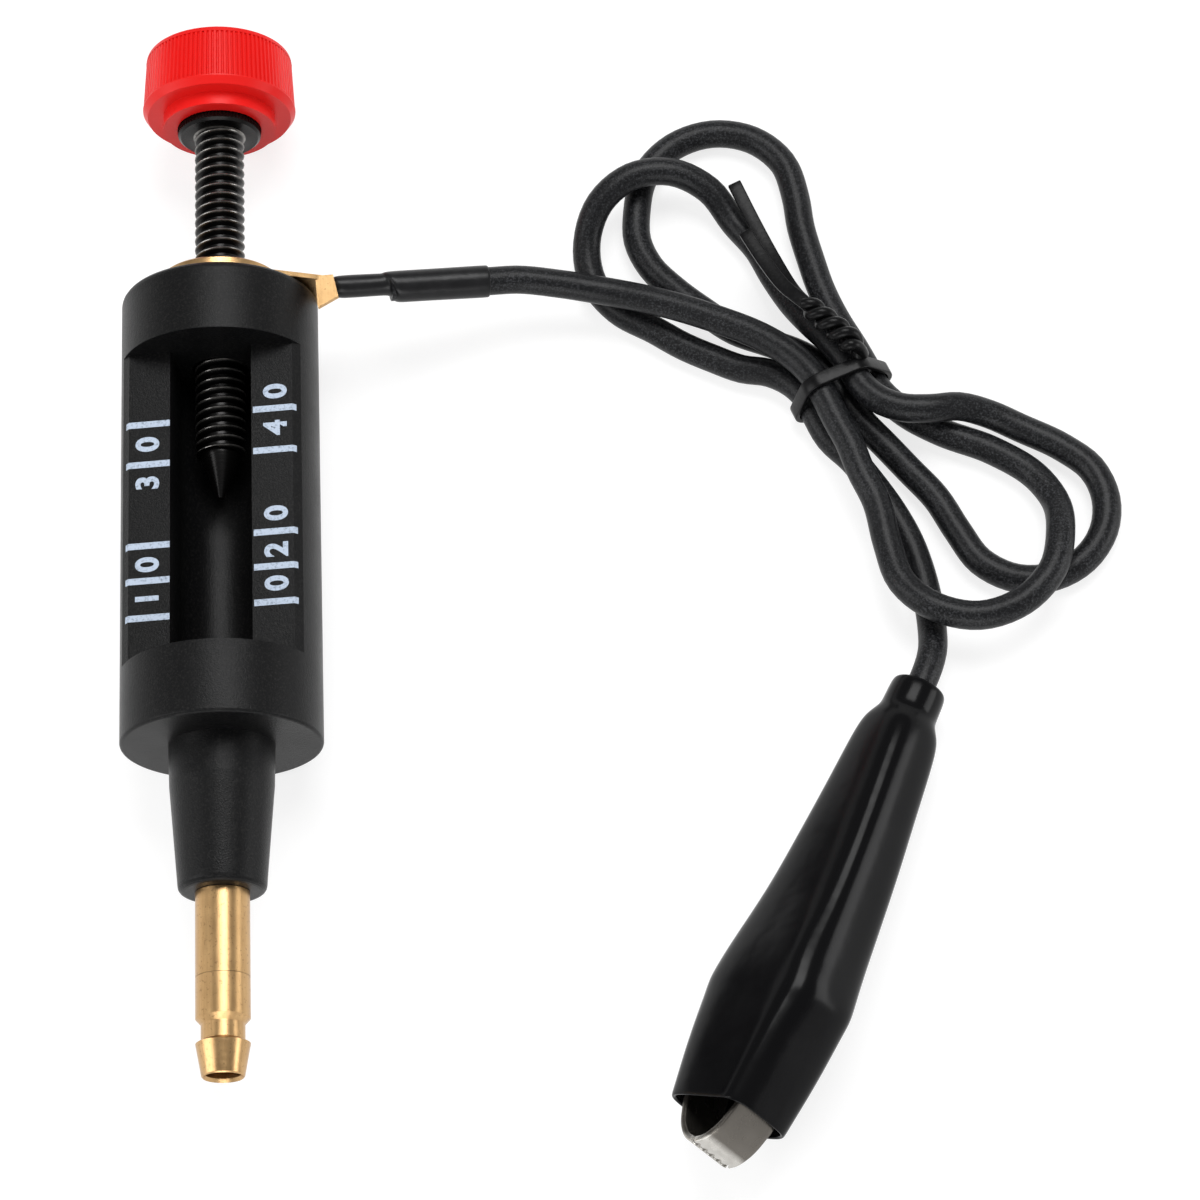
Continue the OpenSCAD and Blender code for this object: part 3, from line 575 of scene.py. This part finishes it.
def drawn_wire(name, path, radius, sides=4):
    """A round wire along a path, with a radius in millimetres and more sides for a higher number."""
    data = bpy.data.curves.new(name, "CURVE")
    data.dimensions = "3D"
    data.twist_mode = "Z_UP"
    data.bevel_depth = radius * MM
    data.bevel_resolution = sides
    data.use_fill_caps = True
    spline = data.splines.new("POLY")
    spline.use_smooth = True
    spline.points.add(len(path) - 1)
    for point, p in zip(spline.points, path):
        point.co = (*p, 1)
    piece = bpy.data.objects.new(name, data)
    bpy.context.collection.objects.link(piece)
    return piece


def meshed(piece):
    """Turns a curve or a text into a mesh."""
    only(piece)
    bpy.ops.object.convert(target="MESH")
    return bpy.context.object


def add_lead(material):
    """The lead, and the length of its route."""
    path = curve_through(lead_route(), 1.0)
    length = sum((b - a).length for a, b in zip(path, path[1:]))
    lead = drawn_wire("lead_jacket", path, LEAD_D / 2, sides=6)
    dressed(lead, material, stands_for=["lead"])
    return lead, length


def add_sleeve(material):
    """The shrunk sleeve: a neck set off the lead's line, a slanted step up to the body, and rolled lips."""
    neck, body = 1.43, 2.0
    rings = [
        (0.1, 0.72, 0.72, 0.0, 0, 6),
        (-1.0, 0.74, 0.74, 0.05, 0, 14),
        (-1.12, 0.95, 0.95, 0.12, 0, 16),
        (-0.85, neck - 0.2, neck - 0.18, 0.3, 0, 18),
        (-0.5, neck, neck, 0.38, 0, 20),
        (0.3, neck + 0.02, neck + 0.02, 0.42, 0, 14),
        (1.6, neck, neck, 0.42, 0, 6),
        (4.4, neck - 0.02, neck, 0.42, 0, 12),
        (5.3, neck + 0.02, neck + 0.04, 0.4, 0, 20),
        (5.62, neck + 0.16, neck + 0.16, 0.3, 0, 21),
        (5.9, body - 0.08, body - 0.08, 0.04, 0, 20),
        (6.3, body + 0.02, body + 0.02, 0.0, 0, 18),
        (7.2, body, body, 0.0, 0, 8),
        (9.6, body - 0.03, body - 0.03),
        (13.5, body - 0.01, body - 0.01),
        (17.6, body + 0.02, body + 0.02),
        (18.1, body, body),
        (18.2, body - 0.1, body - 0.1),
        (18.0, body - 0.22, body - 0.22),
    ]
    sleeve = extruded("shrunk_sleeve", 24, rings, close=False)
    sleeve = applied(sleeve, "SUBSURF", levels=2, render_levels=2)
    over = (Vector((0, 1, 0)) - SLEEVE_DIR * SLEEVE_DIR.y).normalized()
    turn = Matrix((over, SLEEVE_DIR.cross(over), SLEEVE_DIR)).transposed().to_4x4()
    placed(sleeve, Matrix.Translation(SLEEVE_START) @ turn)
    smooth(sleeve, 50)
    return dressed(sleeve, material, stands_for=["shrink_sleeve"])


def thread_profile():
    """One pitch of the thread's flank line, from root to root, as shares of the pitch and radii."""
    shoulder = SCREW_R - 0.03
    return [
        (0.0, SCREW_ROOT_R),
        (0.12, SCREW_ROOT_R),
        (0.44, shoulder),
        (0.5, SCREW_R),
        (0.56, shoulder),
        (0.88, SCREW_ROOT_R),
        (1.0, SCREW_ROOT_R),
    ]


# Steps of the thread round one turn, and the distance at which points are one
THREAD_STEPS = 28
SAME_POINT = 0.00001


def add_thread():
    """The threaded shank: one pitch of profile wound up the screw, then cut square at both ends."""
    bpy.ops.object.select_all(action="DESELECT")
    bpy.ops.mesh.primitive_plane_add(size=MM)
    thread = started("screw_thread")
    editing(thread)
    bpy.ops.mesh.merge(type="COLLAPSE")
    low = Y_POINT + SCREW_POINT_L - SCREW_PITCH
    line = [mm(radius, 0, low + share * SCREW_PITCH) for share, radius in thread_profile()]
    bpy.ops.transform.translate(value=line[0])
    for a, b in zip(line, line[1:]):
        bpy.ops.mesh.extrude_vertices_move(TRANSFORM_OT_translate={"value": b - a})
    done()
    turns = math.ceil((Y_SCREW_HEAD - low) / SCREW_PITCH) + 1
    applied(
        thread,
        "SCREW",
        angle=2 * math.pi,
        screw_offset=SCREW_PITCH * MM,
        iterations=turns,
        steps=THREAD_STEPS,
        render_steps=THREAD_STEPS,
        use_merge_vertices=True,
        merge_threshold=2 * SAME_POINT,
    )
    editing(thread)
    bpy.ops.mesh.remove_doubles(threshold=SAME_POINT)
    ends = ((Y_POINT + SCREW_POINT_L + 0.15, True), (Y_SCREW_HEAD + 0.1, False))
    for height, below in ends:
        bpy.ops.mesh.select_all(action="SELECT")
        bpy.ops.mesh.bisect(
            plane_co=mm(0, 0, height),
            plane_no=(0, 0, 1),
            use_fill=True,
            clear_inner=below,
            clear_outer=not below,
        )
    bpy.ops.mesh.select_all(action="SELECT")
    bpy.ops.mesh.normals_make_consistent(inside=False)
    done()
    return thread


# The head's knurl, as points round its rim of which every second one is drawn in, and its hex socket
KNURL_POINTS = 144
KNURL_SHARE = 0.972
SOCKET_R = 2.77
SOCKET_DEPTH = 3


def add_screw(material):
    """The adjusting screw: a ground point, a threaded shank and a knurled socket head."""
    base = Y_POINT + SCREW_POINT_L
    point = extruded(
        "screw_point",
        48,
        [
            (Y_POINT, 0.22, 0.22),
            (Y_POINT + 0.12, 0.42, 0.42),
            (Y_POINT + 0.5, 0.55, 0.55),
            (base - 0.3, 2.3, 2.3),
            (base, 2.36, 2.36),
            (base + 0.6, 2.36, 2.36),
        ],
    )
    top = Y_SCREW_HEAD + SCREW_HEAD_H
    head = extruded(
        "screw_head",
        KNURL_POINTS,
        [
            (Y_SCREW_HEAD - 0.7, 2.45, 2.45),
            (Y_SCREW_HEAD - 0.15, 2.9, 2.9),
            (Y_SCREW_HEAD, 3.3, 3.3),
            (Y_SCREW_HEAD, SCREW_HEAD_R - 0.4, SCREW_HEAD_R - 0.4),
            (Y_SCREW_HEAD + 0.3, SCREW_HEAD_R - 0.06, SCREW_HEAD_R - 0.06),
            (Y_SCREW_HEAD + 0.45, SCREW_HEAD_R, SCREW_HEAD_R),
            (top - 0.45, SCREW_HEAD_R, SCREW_HEAD_R),
            (top, SCREW_HEAD_R - 0.4, SCREW_HEAD_R - 0.4),
        ],
    )

    def in_valley(place):
        step = round(math.atan2(place.y, place.x) / (2 * math.pi) * KNURL_POINTS)
        return place.xy.length > SCREW_HEAD_R - 0.01 and step % 2 == 0

    pick(head, in_valley)
    bpy.ops.transform.resize(value=(KNURL_SHARE, KNURL_SHARE, 1), center_override=(0, 0, 0))
    done()
    bpy.ops.object.select_all(action="DESELECT")
    bpy.ops.mesh.primitive_cylinder_add(
        vertices=6, radius=SOCKET_R * MM, depth=2 * SOCKET_DEPTH * MM, location=mm(0, 0, top)
    )
    cutter = bpy.context.object
    applied(head, "BOOLEAN", object=cutter, operation="DIFFERENCE")
    bpy.data.objects.remove(cutter)
    screw = joined("adjusting_screw_threaded", add_thread(), point, head)
    placed(screw, ON_AXIS)
    smooth(screw, 32)
    return dressed(screw, material, "knob", ["adjusting_screw"])


# The boot along the clip: place, half width across the pivot, and half height the way the jaws open
BOOT_RINGS = [
    (-43.35, 2.6, 2.6),
    (-43.5, 3.1, 3.1),
    (-43.25, 3.45, 3.45),
    (-40.4, 3.5, 3.5),
    (-39.4, 3.6, 3.62),
    (-38.2, 4.0, 4.12),
    (-36.5, 4.25, 4.45),
    (-29, 4.5, 5.2),
    (-20, 4.75, 6.15),
    (-13, 5.05, 6.85),
    (-6, 5.45, 8.0),
    (-2.6, 5.55, 8.62),
    (-1.0, 5.55, 8.85),
    (0.8, 5.5, 8.55),
    (4.5, 5.35, 7.85),
    (8.3, 5.2, 7.35),
    (12.4, 5.0, 6.6),
    (13.75, 4.95, 6.4),
    (14.0, 4.8, 6.25),
    (13.8, 4.4, 5.85),
]
BOOT_SIDES = 16
BOOT_WALL = 0.55

# How far the boot's rings are squared: from and to along the clip, and a share
BOOT_SQUARED = ((-39, -37, 0.4), (-37, -24, 0.75), (-24, 3, 0.9), (3, 15, 1.05))

# What makes an ellipse square: a step round the quarter, and how far it grows each way
SQUARE_STEPS = ((1, 0.082, 0.51), (2, 0.236, 0.236), (3, 0.51, 0.082))

# The dent over the jaws, along the clip and by steps round one quarter, and the bow of the boot's back
DENT_FROM, DENT_TO = -12, 15
DENT_STEPS = ((2, -0.75, -0.6), (3, -0.35, 0.0), (1, -0.2, -0.2))
BOW_STEPS = ((-30, -8, 0.12, 0.14), (-24, -10, 0.1, 0.12))


def add_boot(material):
    """The clip's boot: a tube drawn along the clip, squared up over the jaws and hollowed by a wall."""
    boot = extruded("vinyl_boot", BOOT_SIDES, BOOT_RINGS, close=False)
    sizes = {x: (w, h) for x, w, h in BOOT_RINGS}

    def on_ring(place):
        """The vertex's angle round its own ring, folded into one quarter, in steps of one side."""
        w, h = sizes[min(sizes, key=lambda x: abs(x - place.z))]
        a = math.degrees(math.atan2(abs(place.y) / h, abs(place.x) / w))
        return round(a * BOOT_SIDES / 360)

    for low, high, share in BOOT_SQUARED:
        for step, x, y in SQUARE_STEPS:
            pick(boot, lambda p: low < p.z <= high and on_ring(p) == step)
            bpy.ops.transform.resize(value=(1 + share * x, 1 + share * y, 1), center_override=(0, 0, 0))
            done()
    for step, x, y in DENT_STEPS:
        pick(boot, lambda p: DENT_FROM < p.z < DENT_TO and p.x < 0 < p.y and on_ring(p) == step)
        bpy.ops.transform.translate(value=mm(x, y, 0))
        done()
    for low, high, x, y in BOW_STEPS:
        pick(boot, lambda p: low < p.z < high)
        bpy.ops.transform.translate(value=mm(x, y, 0))
        done()
    applied(boot, "SOLIDIFY", thickness=BOOT_WALL * MM, offset=-1, use_even_offset=True)
    applied(boot, "SUBSURF", levels=3, render_levels=3)
    placed(boot, ON_CLIP @ Matrix.Rotation(math.radians(90), 4, "Y"))
    smooth(boot, 60)
    dressed(boot, material, None, ["clip_boot"])
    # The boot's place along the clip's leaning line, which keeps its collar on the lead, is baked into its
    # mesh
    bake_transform(boot)
    return boot


# The spring's coil, and where its legs end on the levers
COIL_R = 1.75
COIL_HALF_W = 1.3
COIL_TURNS = 3.5
COIL_STEPS = 90
COIL_WIRE_R = 0.28
LEG_END = (-13.2, 3.8)


def add_spring(material):
    """The torsion spring round the pivot, with a leg against each lever."""
    x, y = LEG_END
    points = [(x, y, -COIL_HALF_W)]
    for i in range(COIL_STEPS + 1):
        share = i / COIL_STEPS
        a = math.radians(90 + 360 * COIL_TURNS * share)
        points.append((COIL_R * math.cos(a), COIL_R * math.sin(a), COIL_HALF_W * (2 * share - 1)))
    points.append((x, -y, COIL_HALF_W))
    path = [ON_CLIP @ mm(*p) for p in points]
    spring = meshed(drawn_wire("torsion_spring", path, COIL_WIRE_R, sides=3))
    smooth(spring, 60)
    dressed(spring, material, None, ["clip_spring"])
    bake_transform(spring)
    return spring


# Points round each run in the band's outline
HULL_STEPS = 48


def waist_hull(grow):
    """The outline round the waist's runs: the outer points of circles about them, in order."""
    radius = LEAD_D / 2 + grow
    points = []
    for across, height in RUNS.values():
        for k in range(HULL_STEPS):
            a = 2 * math.pi * k / HULL_STEPS
            points.append((across + radius * math.cos(a), height + radius * math.sin(a)))
    points.sort()
    hull = []
    for row in (points, points[::-1]):
        chain = []
        for p in row:
            while len(chain) > 1 and cross(chain[-2], chain[-1], p) <= 0:
                chain.pop()
            chain.append(p)
        hull += chain[:-1]
    return hull


def cross(o, a, b):
    """Above zero where the way from o by a to b turns left."""
    return (a[0] - o[0]) * (b[1] - o[1]) - (a[1] - o[1]) * (b[0] - o[0])


def ribbon(name, path, across, width, columns=1):
    """A thin ribbon along a path: a line of edges, drawn out sideways in columns."""
    bpy.ops.object.select_all(action="DESELECT")
    bpy.ops.mesh.primitive_plane_add(size=MM)
    piece = started(name)
    editing(piece)
    bpy.ops.mesh.merge(type="COLLAPSE")
    bpy.ops.transform.translate(value=path[0] - across * width * MM / 2)
    for a, b in zip(path, path[1:]):
        bpy.ops.mesh.extrude_vertices_move(TRANSFORM_OT_translate={"value": b - a})
    bpy.ops.mesh.select_all(action="SELECT")
    for _ in range(columns):
        bpy.ops.mesh.extrude_edges_move(TRANSFORM_OT_translate={"value": across * width * MM / columns})
    bpy.ops.mesh.select_all(action="SELECT")
    bpy.ops.mesh.remove_doubles(threshold=SAME_POINT)
    bpy.ops.mesh.normals_make_consistent(inside=False)
    done()
    return piece


# How far a ribbon's edges are eased
EASED_EDGE = 0.14


def walled(piece, thickness):
    """Gives a ribbon its wall, with eased edges."""
    applied(piece, "SOLIDIFY", thickness=thickness * MM, offset=0)
    sharp = math.radians(50)
    return applied(piece, "BEVEL", width=EASED_EDGE * MM, segments=3, limit_method="ANGLE", angle_limit=sharp)


def strap(name, path, across, width, thickness):
    """A flat strap along a path."""
    return walled(ribbon(name, path, across, width), thickness)


# A jaw's line in the clip's plane, from lever to lip, and its nose with its teeth
JAW_LINE = [
    (-24, 3.8),
    (-14.4, 4.84),
    (-6, 6.144),
    (0, 6.4),
    (7.77, 5.464),
    (14, 4.06),
    (17, 2.5),
    (18.1, 1.21),
    (18.44, 0.14),
]
NOSE_START = 5
NOSE_W = 6.3
NOSE_T = 0.78
TEETH = 5
TOOTH_DEPTH = 0.38
TOOTH_ROOM = 0.7


def add_nose(name, side, body, material):
    """A jaw's nose: a strip bent in a smooth curve, with teeth along its lip."""
    path = curve_through([mm(x, side * y, 0) for x, y in JAW_LINE], 0.3)
    lip = path[-1]
    path = [p for p in path if p.x > NOSE_START * MM and (p - lip).length > TOOTH_ROOM * MM] + [lip]
    nose = ribbon(name, path, Vector((0, 0, 1)), NOSE_W, 2 * TEETH)
    pitch = NOSE_W / 2 / TEETH

    def in_gap(place):
        at_lip = (place.xy - lip.xy / MM).length < 0.01
        return at_lip and round((place.z + NOSE_W / 2) / pitch) % 2 == 1

    pick(nose, in_gap)
    bpy.ops.transform.translate(value=(path[-2] - lip).normalized() * TOOTH_DEPTH * MM)
    done()
    walled(nose, NOSE_T)
    smooth(nose, 40)
    return dressed(placed(nose, ON_CLIP), material, body)


# The tie's twisted end and its tails, as in the part's source
TWIST_START = mm(78.008, 19.43, 9.867)
TWIST_END = mm(71.9, 26.4, 9.3)
LONG_TAIL = [(70.4, 29.4, 7), (68.2, 34.6, 5.6), (66, 40.1, 5.2), (63.8, 45.9, 5.2)]
SHORT_TAIL = [(69.3, 29.4, 8.6), (67.2, 33.1, 8), (64.9, 37.8, 7.6)]
TWIST_R = 0.92
TWIST_STRAND_R = 0.74
TWIST_TURNS = 2.25
TWIST_STEPS = 54
TWIST_SUNK_SHARE = 0.14
TWIST_SUNK = 2.4
TIE_W = 1.7
TIE_T = 0.62
TIE_SLACK = 0.4


def helix(start, along, first):
    """A strand's path, wound left-handed about a line, sunk at its start and drawn in at its end."""
    side = along.orthogonal().normalized()
    over = along.normalized().cross(side)
    path = []
    for i in range(TWIST_STEPS + 1):
        share = i / TWIST_STEPS
        turn = math.radians(first - 360 * TWIST_TURNS * share)
        sunk = max(0.0, 1 - share / TWIST_SUNK_SHARE) ** 2
        radius = TWIST_R * (1 - 0.35 * share**3 - 0.5 * sunk) * MM
        middle = start + along * share - mm(0, 0, TWIST_SUNK * sunk)
        path.append(middle + (side * math.cos(turn) + over * math.sin(turn)) * radius)
    return path


def add_tie(material):
    """The wire tie: a strap round the waist, its ends twisted together, and two tails."""
    s, c = math.sin(WAIST_TURN), math.cos(WAIST_TURN)
    band = [mm(WAIST[0] + u * c, WAIST[1] + u * s, z) for u, z in waist_hull(TIE_SLACK)]
    parts = [strap("tie_band", band + band[:1], Vector((s, -c, 0)), TIE_W, TIE_T)]
    along = TWIST_END - TWIST_START
    for start in (0, 180):
        parts.append(meshed(drawn_wire("tie_strand", helix(TWIST_START, along, start), TWIST_STRAND_R)))
    for tail in (LONG_TAIL, SHORT_TAIL):
        points = [TWIST_END - along.normalized() * MM, TWIST_END] + [mm(*p) for p in tail]
        flat_across = (points[-1] - points[1]).cross(Vector((0, 0, 1))).normalized()
        parts.append(strap("tie_tail", curve_through(points, 0.9), flat_across, TIE_W, TIE_T))
    tie = joined("wire_tie_strap", *parts)
    smooth(tie, 50)
    return dressed(tie, material, stands_for=["wire_tie"])


# Printed scale: places of the ticks and figures along the barrel, and across it
RIGHT_TICKS = (-10.64, -6.11, -1.68, 8.93, 14.36)
LEFT_TICKS = (-11.43, -6.72, -2.22, 8.34, 13.6)
RIGHT_FIGURES = (("0", -8.32), ("2", -4.03), ("0", 0.67), ("4", 11.81), ("0", 16.6))
LEFT_FIGURES = (("1", -8.99), ("0", -4.64), ("3", 5.94), ("0", 10.98))
RIGHT_TICK_X = (5.15, 9.96)
LEFT_TICK_X = (-4.98, -9.96)
RIGHT_FIGURE_X = 8.0
LEFT_FIGURE_X = -7.55
INK = 0.02
TICK_W = 0.82
EDGE_DROP = 0.42
FIGURE_SIZE = 3.75
FIGURE_BOLD = 0.14


def add_tick(inner, outer, y):
    """A printed tick: a thin plate across the flat, with its outer end carried down the edge."""
    middle = mm((inner + outer) / 2, y, FLAT_Z + INK)
    bpy.ops.object.select_all(action="DESELECT")
    bpy.ops.mesh.primitive_plane_add(size=MM, location=middle)
    tick = started("tick")
    editing(tick)
    bpy.ops.transform.resize(value=(abs(outer - inner), TICK_W, 1), center_override=middle)
    done()
    bpy.ops.object.transform_apply(location=True, rotation=True, scale=True)
    editing(tick)
    bpy.ops.mesh.select_mode(type="EDGE")
    bpy.ops.mesh.select_all(action="DESELECT")
    done()
    for e in tick.data.edges:
        e.select = all(abs(tick.data.vertices[i].co.x) > (abs(outer) - 0.01) * MM for i in e.vertices)
    bpy.ops.object.mode_set(mode="EDIT")
    reach = math.copysign(EDGE_DROP, outer)
    bpy.ops.mesh.extrude_edges_move(TRANSFORM_OT_translate={"value": mm(reach, 0, -EDGE_DROP)})
    bpy.ops.mesh.select_mode(type="VERT")
    done()
    return tick


def add_figure(text, x, y):
    """A printed figure that reads up the barrel."""
    bpy.ops.object.select_all(action="DESELECT")
    bpy.ops.object.text_add()
    figure = started("figure")
    figure.data.body = text
    figure.data.size = FIGURE_SIZE * MM
    figure.data.offset = FIGURE_BOLD * MM
    figure.data.align_x = "CENTER"
    figure.data.align_y = "CENTER"
    place = Matrix.Translation(mm(x, y, FLAT_Z + INK))
    return placed(meshed(figure), place @ Matrix.Rotation(math.radians(90), 4, "Z"))


def add_print(material):
    """The scale on both flats, as one piece."""
    parts = [add_tick(*RIGHT_TICK_X, y) for y in RIGHT_TICKS]
    parts += [add_tick(*LEFT_TICK_X, y) for y in LEFT_TICKS]
    parts += [add_figure(text, RIGHT_FIGURE_X, y) for text, y in RIGHT_FIGURES]
    parts += [add_figure(text, LEFT_FIGURE_X, y) for text, y in LEFT_FIGURES]
    print_piece = joined("printed_scale", *parts)
    return dressed(print_piece, material)


# The floor, and the backdrop's curve from there up to a low wall all round, as heights and radii
FLOOR_Z = -0.1
FLOOR_SIZE = 4000
SWEEP = ((FLOOR_Z, 1700), (6, 1790), (40, 1880), (130, 1945), (600, 1960))
SWEEP_SIDES = 96


def add_floor():
    """A pale floor and backdrop, white to the camera and in reflections, which keep the part's shadow."""
    bpy.ops.object.select_all(action="DESELECT")
    bpy.ops.mesh.primitive_plane_add(size=FLOOR_SIZE * MM, location=mm(0, 0, FLOOR_Z))
    floor = started("studio_floor")
    f = Finish("white_floor")
    rays = f.add("ShaderNodeLightPath", output="Is Camera Ray")
    glossy = f.add("ShaderNodeLightPath", output="Is Glossy Ray")
    through = f.add("ShaderNodeLightPath", output="Is Transmission Ray")
    seen = f.add("ShaderNodeMath", {"operation": "MAXIMUM"}, {0: rays, 1: glossy})
    seen = f.add("ShaderNodeMath", {"operation": "MAXIMUM"}, {0: seen, 1: through})
    paper = f.add("ShaderNodeBsdfDiffuse", None, {"Color": (0.8, 0.8, 0.8, 1)})
    dim = f.add("ShaderNodeBsdfDiffuse", None, {"Color": (0.3, 0.3, 0.3, 1)})
    white = f.add("ShaderNodeEmission", None, {"Color": (1, 1, 1, 1), "Strength": 0.78})
    lit = f.add("ShaderNodeAddShader", None, {0: dim, 1: white})
    f.end(f.add("ShaderNodeMixShader", None, {0: seen, 1: paper, 2: lit}))
    rings = [(height, radius, radius) for height, radius in SWEEP]
    sweep = smooth(extruded("studio_sweep", SWEEP_SIDES, rings, close=False))
    for piece in (floor, sweep):
        piece.data.materials.append(f.material)


# Where the lamps look
LIT_MIDDLE = Vector((0.045, 0, 0.01))


def add_softbox(name, place, width, height, power):
    """A rectangular lamp that looks at the middle of the part, in metres and watts."""
    data = bpy.data.lights.new(name, "AREA")
    data.shape = "RECTANGLE"
    data.size = width
    data.size_y = height
    data.energy = power
    lamp = bpy.data.objects.new(name, data)
    bpy.context.collection.objects.link(lamp)
    aim = LIT_MIDDLE - Vector(place)
    lamp.matrix_world = Matrix.Translation(place) @ aim.to_track_quat("-Z", "Y").to_matrix().to_4x4()


def add_lights():
    """A plain dim world and four soft lamps."""
    world = bpy.data.worlds.new("studio")
    bpy.context.scene.world = world
    world.use_nodes = True
    background = world.node_tree.nodes["Background"]
    background.inputs["Color"].default_value = (1, 1, 1, 1)
    background.inputs["Strength"].default_value = 0.3
    add_softbox("overhead_softbox", (0.16, 0.26, 0.62), 0.4, 0.3, 3.2)
    add_softbox("left_softbox", (-0.55, -0.1, 0.4), 0.25, 0.6, 2.0)
    add_softbox("right_softbox", (0.6, -0.06, 0.12), 0.3, 0.24, 0.9)
    add_softbox("front_softbox", (0.0, -0.6, 0.2), 0.4, 0.3, 1.4)


def finish_solids(materials):
    """Every solid that stays in view takes the material of its slot."""
    for subpart in frame["record"]["subparts"]:
        node = frame["nodes"][subpart["node"]]
        node.data.materials.clear()
        node.data.materials.append(materials[subpart["material_slot"]])


def main():
    """Sets up the camera, dresses the part, and adds the floor and the lamps."""
    bpy.context.scene.view_settings.view_transform = "Standard"
    add_camera()
    materials = {
        "barrel_plastic": barrel_plastic(),
        "brass": turned_brass(),
        "black_steel": black_steel(),
        "red_plastic": red_plastic(),
        "copper": copper(),
        "sleeve_plastic": sleeve_plastic(),
        "lead_rubber": lead_rubber(),
        "tie_plastic": tie_plastic(),
        "nickel": nickel(),
        "spring_steel": spring_steel(),
        "boot_vinyl": boot_vinyl(),
    }
    lead, length = add_lead(materials["lead_rubber"])
    finish_solids(materials)
    sleeve = add_sleeve(materials["sleeve_plastic"])
    tie = add_tie(materials["tie_plastic"])
    boot = add_boot(materials["boot_vinyl"])
    spring = add_spring(materials["spring_steel"])
    noses = [
        add_nose("moving_jaw_nose", 1, "moving_jaw", materials["nickel"]),
        add_nose("fixed_jaw_nose", -1, "tester", materials["nickel"]),
    ]
    add_screw(materials["black_steel"])
    add_print(scale_print())
    add_floor()
    add_lights()


main()
